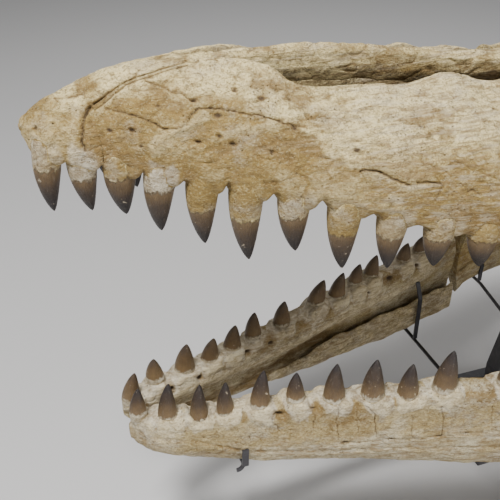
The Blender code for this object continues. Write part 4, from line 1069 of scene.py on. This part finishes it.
# Rear of the lower jaw
# Surangular over angular, the coronoid that caps them, and the articular with its jaw joint:
# separate bones that lie against each other and carry the jaw back to the quadrate.
JAW_TOP_Z = ((0.616, 0.046), (0.72, 0.058), (0.88, 0.075), (1.0, 0.052), (1.04, 0.036))
JAW_LOW_Z = ((0.616, -0.088), (0.65, -0.078), (0.76, -0.08), (0.88, -0.086), (1.0, -0.072),
             (1.13, -0.052), (1.262, -0.04))
JAW_Y = ((0.616, 0.197), (0.76, 0.236), (0.9, 0.266), (1.075, 0.286), (1.262, 0.28))
CORONOID_RISE = ((0.69, 0.007), (0.72, 0.013), (0.76, 0.02), (0.8, 0.03), (0.826, 0.04),
                 (0.838, 0.049))
CORONOID_HALF = ((0.69, 0.004), (0.72, 0.01), (0.76, 0.012), (0.8, 0.012), (0.826, 0.008),
                 (0.838, 0.003))


def rear_split(x):
    """The height at which the surangular rests on the angular."""
    return along(x, JAW_LOW_Z) * 0.64 + along(x, JAW_TOP_Z) * 0.36


def surangular_section(x):
    top = along(x, JAW_TOP_Z)
    y = along(x, JAW_Y)
    split = rear_split(x)
    return [(y - 0.01, top), (y + 0.008, top - 0.002), (y + 0.018, top - (top - split) * 0.45),
            (y + 0.016, split), (y - 0.012, split), (y - 0.014, top - (top - split) * 0.5)]


def angular_section(x):
    low = along(x, JAW_LOW_Z)
    y = along(x, JAW_Y)
    split = rear_split(x) - 0.0004
    return [(y - 0.013, split), (y + 0.016, split), (y + 0.012, low + (split - low) * 0.4),
            (y + 0.001, low), (y - 0.012, low + (split - low) * 0.3)]


def articular_section(x):
    """A tapering block with the hollow of the jaw joint in its top."""
    low = along(x, JAW_LOW_Z)
    y = along(x, JAW_Y)
    hollow = 0.012 * np.exp(-((x - 1.075) / 0.022) ** 2)
    t = (x - 1.0405) / 0.2215
    top = 0.038 - 0.04 * t - hollow
    half = 0.03 - 0.012 * t
    return [(y - half, top - 0.004), (y - half * 0.3, top), (y + half * 0.8, top - 0.002),
            (y + half * 0.9, (top + low) / 2), (y + half * 0.3, low), (y - half * 0.6, low + 0.004),
            (y - half, (top + low) / 2)]


def coronoid_section(x):
    """A saddle on the surangular that rises backwards."""
    foot = along(x, JAW_TOP_Z) + 0.0012
    rise = along(x, CORONOID_RISE)
    half = along(x, CORONOID_HALF)
    y = along(x, JAW_Y) - 0.001
    base = foot + rise * 0.5 * ease(x, 0.82, 0.838)
    return [(y - half, base), (y + half, base), (y + half * 0.5, foot + rise),
            (y - half * 0.5, foot + rise)]


JOINT_X = 0.616          # where the rear of the jaw begins, behind the dentary


# bone, finish, outline, first and last distance, points from each corner, rings
rear_jaw = (
    ("surangular", "cream_bone", surangular_section, JOINT_X, 1.04, (14, 22, 22, 14, 18, 18), 200),
    ("angular", "pale_bone", angular_section, JOINT_X, 1.04, (14, 14, 16, 12, 14), 200),
    ("articular", "ochre_bone", articular_section, 1.0405, 1.262, (10, 14, 16, 16, 12, 12, 12), 130),
    ("coronoid", "cream_bone", coronoid_section, 0.69, 0.838, (16, 12, 10, 12), 80),
)
for side, word in SIDES:
    for number, (bone, slot, section, start, end, shares, count) in enumerate(rear_jaw):
        tail = 0.002 if bone == "articular" else 0.0002
        grid = lofted(np.linspace(start, end, count), section, shares, side, 0.0002, tail)
        if start == JOINT_X:
            # the front ends are worn back to a hollow edge
            worn = 0.013 * ((grid[:, :, 2] + 0.021) / 0.067) ** 2 + 0.0065
            grid[:, :, 0] += worn * (1 - ease(grid[:, :, 0], start, start + 0.07))
        tone = 0.25 - 0.3 * (bone == "angular")
        plain_bone(Surface(grid), bone, slot, word, 131 + 7 * number + side,
                   (0.0009, 0.0004, 0.0003), 0.55, tone)


# Skull roof
# Frontal, parietal and the braincase below: the flat middle of the skull behind the nostrils,
# three bones one behind the other.
FRONTAL_HALF = ((0.5055, 0.02), (0.54, 0.052), (0.62, 0.076), (0.72, 0.088), (0.8, 0.104))


def frontal_section(x):
    """A shield that widens backwards from between the nostrils."""
    top = along(x, ROOF_Z)
    half = along(x, FRONTAL_HALF)
    thick = along(x, ((0.5055, 0.022), (0.56, 0.03), (0.8, 0.03)))
    right = [(half * 0.5, top - thick), (half * 0.96, top - thick * 0.8), (half, top - 0.012),
             (half * 0.6, top - 0.004)]
    return mirrored(right, top)


def parietal_section(x):
    """A plate that narrows between the temple openings."""
    top = along(x, ROOF_Z)
    half = along(x, ((0.8004, 0.1), (0.84, 0.06), (0.9, 0.034), (0.98, 0.03),
                     (1.04, 0.048)))
    return mirrored([(half * 0.8, top - 0.034), (half, top - 0.012), (half * 0.55, top - 0.003)], top)


def braincase_section(x):
    """A block under the roof, which ends behind in the knob for the neck."""
    half = along(x, ((0.86, 0.026), (0.96, 0.04), (1.04, 0.052), (1.06, 0.03),
                     (1.095, 0.026), (1.105, 0.014)))
    low = along(x, ((0.86, 0.27), (0.96, 0.222), (1.04, 0.196), (1.06, 0.204),
                    (1.095, 0.212), (1.105, 0.224)))
    back = along(x, ((1.046, 0.29), (1.06, 0.262), (1.095, 0.26), (1.105, 0.248)))
    top = np.where(x > 1.045, back, along(x, ROOF_Z) - 0.0345)
    return mirrored([(half * 0.6, low), (half, (top + low) / 2), (half * 0.7, top)])


roof = (
    ("frontal", "cream_bone", frontal_section, 0.5054, 0.8, (14, 8, 12, 20, 24, 20, 12, 8, 14), 150),
    ("parietal", "ochre_bone", parietal_section, 0.8004, 1.04, (14, 16, 16, 24, 16, 16, 14), 130),
    ("braincase", "cream_bone", braincase_section, 0.86, 1.105, (24, 22, 22, 24, 22, 22), 130),
)
for number, (bone, slot, section, start, end, shares, count) in enumerate(roof):
    grid = lofted(np.linspace(start, end, count), section, shares, 1)
    plain_bone(Surface(grid), bone, slot, "", 171 + 9 * number, (0.0012, 0.00042, 0.00025), 0.45, 0.1)


# Cheeks and temples
# Prefrontal, postorbitofrontal, jugal, squamosal, supratemporal and quadrate: the bars that
# frame each eye and temple opening, and the hinge bone that hangs behind them.
def prefrontal_section(x):
    """A sloping plate from the maxilla's rim up to the frontal's edge."""
    top = along(x, ROOF_Z)
    inner = along(x, FRONTAL_HALF) + 0.0015
    edge_y, edge_z, keel_y, keel_z = maxilla_edge(x)
    edge_z = edge_z + 0.0022
    foot_y = edge_y + (keel_y - edge_y) * 0.4
    foot_z = edge_z + (keel_z - edge_z) * 0.4 + 0.0022
    mid_y = inner * 0.45 + edge_y * 0.55
    mid_z = top * 0.42 + edge_z * 0.58
    return [(edge_y, edge_z), (mid_y + 0.006, mid_z + 0.006), (inner + 0.004, top - 0.01),
            (inner, top - 0.014), (inner, top - 0.032), (mid_y - 0.012, mid_z - 0.02),
            (foot_y, foot_z)]


BAR_SIDES = 44
BAR_STEP = 0.0026


def bar_grid(path, side):
    """Oval rings round a smooth path of (x, y, z, half width, half height)."""
    path = np.array(path) * np.array((1, side, 1, 1, 1))
    legs = np.linalg.norm(np.diff(path[:, :3], axis=0), axis=1)
    places = np.insert(np.cumsum(legs), 0, 0.0)
    s = np.linspace(0.0, places[-1], int(places[-1] / BAR_STEP) + 2)
    fine = np.stack([along(s, list(zip(places, path[:, k]))) for k in range(5)], axis=1)
    forward = np.gradient(fine[:, :3], axis=0)
    forward /= np.linalg.norm(forward, axis=1, keepdims=True)
    across = np.cross(forward, (0.0, 0.0, 1.0))
    for k in range(1, len(across)):
        across[k] = across[k - 1] - forward[k] * (across[k - 1] @ forward[k])
    across /= np.linalg.norm(across, axis=1, keepdims=True)
    up = np.cross(across, forward)
    turn = np.linspace(0.0, 2 * math.pi, BAR_SIDES, endpoint=False)[None, :, None]
    ring = (fine[:, None, :3] + across[:, None] * fine[:, None, 3:4] * np.cos(turn)
            + up[:, None] * fine[:, None, 4:5] * np.sin(turn))
    ends = []
    for k, sign in ((0, -1), (-1, 1)):
        centre = fine[k, :3]
        bulge = 0.45 * min(fine[k, 3], fine[k, 4])
        ends.append([centre + (ring[k] - centre) * math.cos(a)
                     + sign * forward[k] * bulge * (math.sin(a)) for a in (0.5, 1.0, 1.4)])
    return np.concatenate([ends[0][::-1], ring[1:-1], ends[1]])


# distance, side, height, half width and half height along each bar
CHEEK_BARS = (
    ("postorbitofrontal", "cream_bone", (
        (0.772, 0.112, 0.374, 0.012, 0.014), (0.8, 0.14, 0.366, 0.018, 0.014),
        (0.85, 0.176, 0.34, 0.022, 0.013), (0.9, 0.202, 0.318, 0.016, 0.015),
        (0.96, 0.222, 0.3, 0.01, 0.014), (1.0, 0.232, 0.288, 0.006, 0.011))),
    ("jugal", "ochre_bone", (
        (0.683, 0.228, 0.232, 0.008, 0.009), (0.72, 0.238, 0.222, 0.01, 0.013),
        (0.76, 0.245, 0.217, 0.01, 0.014), (0.8, 0.248, 0.222, 0.011, 0.016),
        (0.836, 0.24, 0.246, 0.011, 0.015), (0.852, 0.224, 0.282, 0.01, 0.011),
        (0.857, 0.206, 0.308, 0.008, 0.009))),
    ("squamosal", "cream_bone", (
        (0.925, 0.236, 0.288, 0.006, 0.008), (0.98, 0.25, 0.274, 0.01, 0.012),
        (1.04, 0.258, 0.262, 0.014, 0.016), (1.078, 0.256, 0.25, 0.018, 0.018),
        (1.1, 0.25, 0.246, 0.012, 0.012))),
    ("supratemporal", "ochre_bone", (
        (1.046, 0.052, 0.3, 0.01, 0.02), (1.066, 0.1, 0.288, 0.011, 0.02),
        (1.082, 0.15, 0.272, 0.012, 0.019), (1.09, 0.2, 0.254, 0.012, 0.016),
        (1.088, 0.232, 0.246, 0.01, 0.012))),
    ("quadrate", "cream_bone", (
        (1.082, 0.258, 0.224, 0.024, 0.022), (1.094, 0.262, 0.2, 0.026, 0.022),
        (1.096, 0.268, 0.15, 0.02, 0.016), (1.088, 0.274, 0.1, 0.022, 0.014),
        (1.08, 0.278, 0.062, 0.03, 0.016), (1.076, 0.28, 0.036, 0.026, 0.012))),
)
for side, word in SIDES:
    grid = lofted(np.linspace(0.514, 0.664, 90), prefrontal_section, (18, 16, 6, 12, 16, 12, 10), side)
    # the rear edge is hollowed for the eye
    span = np.clip((grid[:, :, 2] - 0.262) / 0.13, 0.0, 1.0)
    grid[:, :, 0] -= 0.032 * np.sin(math.pi * span) * ease(grid[:, :, 0], 0.6, 0.664)
    plain_bone(Surface(grid), "prefrontal", "ochre_bone", word, 211 + side,
               (0.001, 0.0004, 0.00025), 0.4, 0.0)
    for number, (bone, slot, path) in enumerate(CHEEK_BARS):
        plain_bone(Surface(bar_grid(path, side)), bone, slot, word, 231 + 5 * number + side,
                   (0.0011, 0.00042, 0.00025), 0.4, 0.15)


# Palate
# Palatines, pterygoids with their small teeth, ectopterygoids and the vomer: thin bones that
# roof the mouth between the upper tooth rows.
def roof_of_mouth(stations, lift, high):
    return [(x, y, upper_z(x) + lift, half, high) for x, y, half in stations]


PALATE_TEETH = 7
# distance, side, half width and half height along the bone
PTERYGOID = ((0.624, 0.09, 0.02, 0.01), (0.7, 0.098, 0.036, 0.011), (0.78, 0.104, 0.044, 0.011),
             (0.86, 0.11, 0.026, 0.012), (0.94, 0.14, 0.014, 0.015), (1.01, 0.19, 0.008, 0.02),
             (1.058, 0.228, 0.006, 0.02))
for side, word in SIDES:
    palatine = Surface(bar_grid(roof_of_mouth(
        ((0.38, 0.04, 0.008), (0.42, 0.062, 0.024), (0.5, 0.09, 0.04), (0.58, 0.104, 0.046),
         (0.62, 0.104, 0.03)), 0.012, 0.006), side))
    pterygoid = Surface(bar_grid(
        [(x, y, upper_z(x) + 0.022 + 0.03 * max(0.0, x - 0.86), half, high)
         for x, y, half, high in PTERYGOID], side))
    for i in range(PALATE_TEETH):
        x = 0.65 + 0.031 * i
        base = (x, side * (0.092 + 0.01 * i / (PALATE_TEETH - 1)), upper_z(x) + 0.018)
        pterygoid.tooth(base, 0.02, 0.013, 0.003, 0.004, -1)
    ectopterygoid = Surface(bar_grid(
        ((0.742, 0.15, upper_z(0.742) + 0.022, 0.012, 0.009),
         (0.728, 0.18, upper_z(0.728) + 0.018, 0.012, 0.009),
         (0.716, 0.224, upper_z(0.716) + 0.008, 0.012, 0.01)), side))
    for number, (bone, piece) in enumerate((("palatine", palatine), ("pterygoid", pterygoid),
                                            ("ectopterygoid", ectopterygoid))):
        plain_bone(piece, bone, "ochre_bone", word, 271 + 5 * number + side,
                   (0.0008, 0.0004, 0.0003), 0.5, 0.3)
vomer = Surface(bar_grid(roof_of_mouth(
    ((0.104, 0.0, 0.006), (0.16, 0.0, 0.014), (0.22, 0.0, 0.026), (0.3, 0.0, 0.033),
     (0.4, 0.0, 0.036), (0.48, 0.0, 0.03)), 0.028, 0.008), 1))
vomer.stains["dirt_and_shade"] += 0.55
plain_bone(vomer, "vomer", "cream_bone", "", 307, (0.0008, 0.0004, 0.0003), 0.0, 0.4)


# Stand
# A black painted steel stand: flat feet and cross bars on the floor, two posts, the arms along
# the middle, four bent rods under the jaws and small clips that hook their edges.
STEEL_BLACK, STEEL_WORN, DUST_GREY = (0.026, 0.024, 0.028), (0.038, 0.036, 0.042), (0.16, 0.15, 0.145)


def steel_finish():
    """Black paint with a fine peel and a film of dust."""
    finish, start = blank_finish("black_steel")
    place = start.node("TexCoord", out="Object")
    peel = start.noise(place, 520.0, 3.0, 0.5)
    dust = start.noise(place, 42.0, 6.0, 0.7)
    colour = start.blend(dust.between(0.3, 0.7), STEEL_BLACK, STEEL_WORN)
    colour = start.blend(dust.between(0.5, 0.75) * 0.25, colour, DUST_GREY)
    bump = start.node("Bump", {}, {"Height": peel, "Strength": 0.25, "Distance": 0.0005})
    shader = start.node("BsdfPrincipled", {}, {
        "Base Color": colour, "Roughness": 0.36 + dust * 0.22, "Normal": bump})
    start.node("OutputMaterial", {}, {"Surface": shader})
    return finish


steel = steel_finish()
ARM_TOP = -0.1215
ROD_RADIUS = 0.003
ROD_AWAY = ROD_RADIUS + 0.0004   # from a rod's middle to what it touches
ROD_SIDES = 20
BEND_RADIUS = 0.012
BEND_POINTS = 8
STEEL_CREASE = math.radians(50)


def rod_tree():
    """Sweeps a round bar along drawn lines, with an eased bend at each corner."""
    tree = bpy.data.node_groups.new("bent_rods", "GeometryNodeTree")
    tree.interface.new_socket("Geometry", in_out="INPUT", socket_type="NodeSocketGeometry")
    for name, value in (("Rod radius", ROD_RADIUS), ("Bend radius", BEND_RADIUS)):
        socket = tree.interface.new_socket(name, in_out="INPUT", socket_type="NodeSocketFloat")
        socket.default_value = value
    tree.interface.new_socket("Geometry", in_out="OUTPUT", socket_type="NodeSocketGeometry")

    def node(kind, links, settings=None):
        return add_node(tree, kind, settings or {}, links).outputs

    given = node("NodeGroupInput", {})
    lines = node("GeometryNodeMeshToCurve", {"Mesh": given["Geometry"]})["Curve"]
    bend = {"Curve": lines, "Radius": given["Bend radius"], "Count": BEND_POINTS, "Limit Radius": True}
    eased = node("GeometryNodeFilletCurve", bend, {"mode": "POLY"})["Curve"]
    circle = node("GeometryNodeCurvePrimitiveCircle",
                  {"Resolution": ROD_SIDES, "Radius": given["Rod radius"]})["Curve"]
    swept = node("GeometryNodeCurveToMesh",
                 {"Curve": eased, "Profile Curve": circle, "Fill Caps": True})["Mesh"]
    whole = node("GeometryNodeRealizeInstances", {"Geometry": swept})["Geometry"]
    painted = node("GeometryNodeSetMaterial", {"Geometry": whole, "Material": steel})["Geometry"]
    node("NodeGroupOutput", {"Geometry": painted})
    return tree


lines_mesh = bpy.data.meshes.new("stand_rods")
rod_points, rod_edges = [], []
HOOK_X = 0.133           # the foremost rod ends in toes that point to the snout
ROD_TOE = 0.013
for x, profile, reach in ((HOOK_X, LOWER_EDGE_Z, 0.083), (0.519, LOWER_EDGE_Z, 0.184),
                          (0.69, JAW_LOW_Z, 0.226), (0.92, JAW_LOW_Z, 0.276)):
    end = float(along(np.array(x), profile)) - ROD_AWAY
    middle = ARM_TOP + ROD_AWAY
    first = len(rod_points)
    bends = [(x, -reach, end), (x, -reach + 0.03, end), (x, -0.012, middle), (x, 0.012, middle),
             (x, reach - 0.03, end), (x, reach, end)]
    if x == HOOK_X:
        bends = [(x - ROD_TOE, -reach, end)] + bends + [(x - ROD_TOE, reach, end)]
    for a, b, c in bends:
        rod_points.append((a - MIDDLE, b, c + RISE))
    rod_edges += [(first + k, first + k + 1) for k in range(len(bends) - 1)]
lines_mesh.from_pydata(rod_points, rod_edges, [])
rods = placed("stand_rods", lines_mesh)
sweep = rods.modifiers.new("rods", "NODES")
sweep.node_group = rod_tree()
for socket in sweep.node_group.interface.items_tree:
    if socket.item_type == "SOCKET" and socket.in_out == "INPUT" and socket.name == "Rod radius":
        sweep[socket.identifier] = ROD_RADIUS
applied(rods).set_sharp_from_angle(angle=STEEL_CREASE)
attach(rods, "root")
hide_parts("stand_rod_1", "stand_rod_2", "stand_rod_3", "stand_rod_4")
for name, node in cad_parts.items():
    if name.startswith("stand_") and not name.startswith("stand_rod"):
        for material_slot in node.material_slots:
            material_slot.material = steel
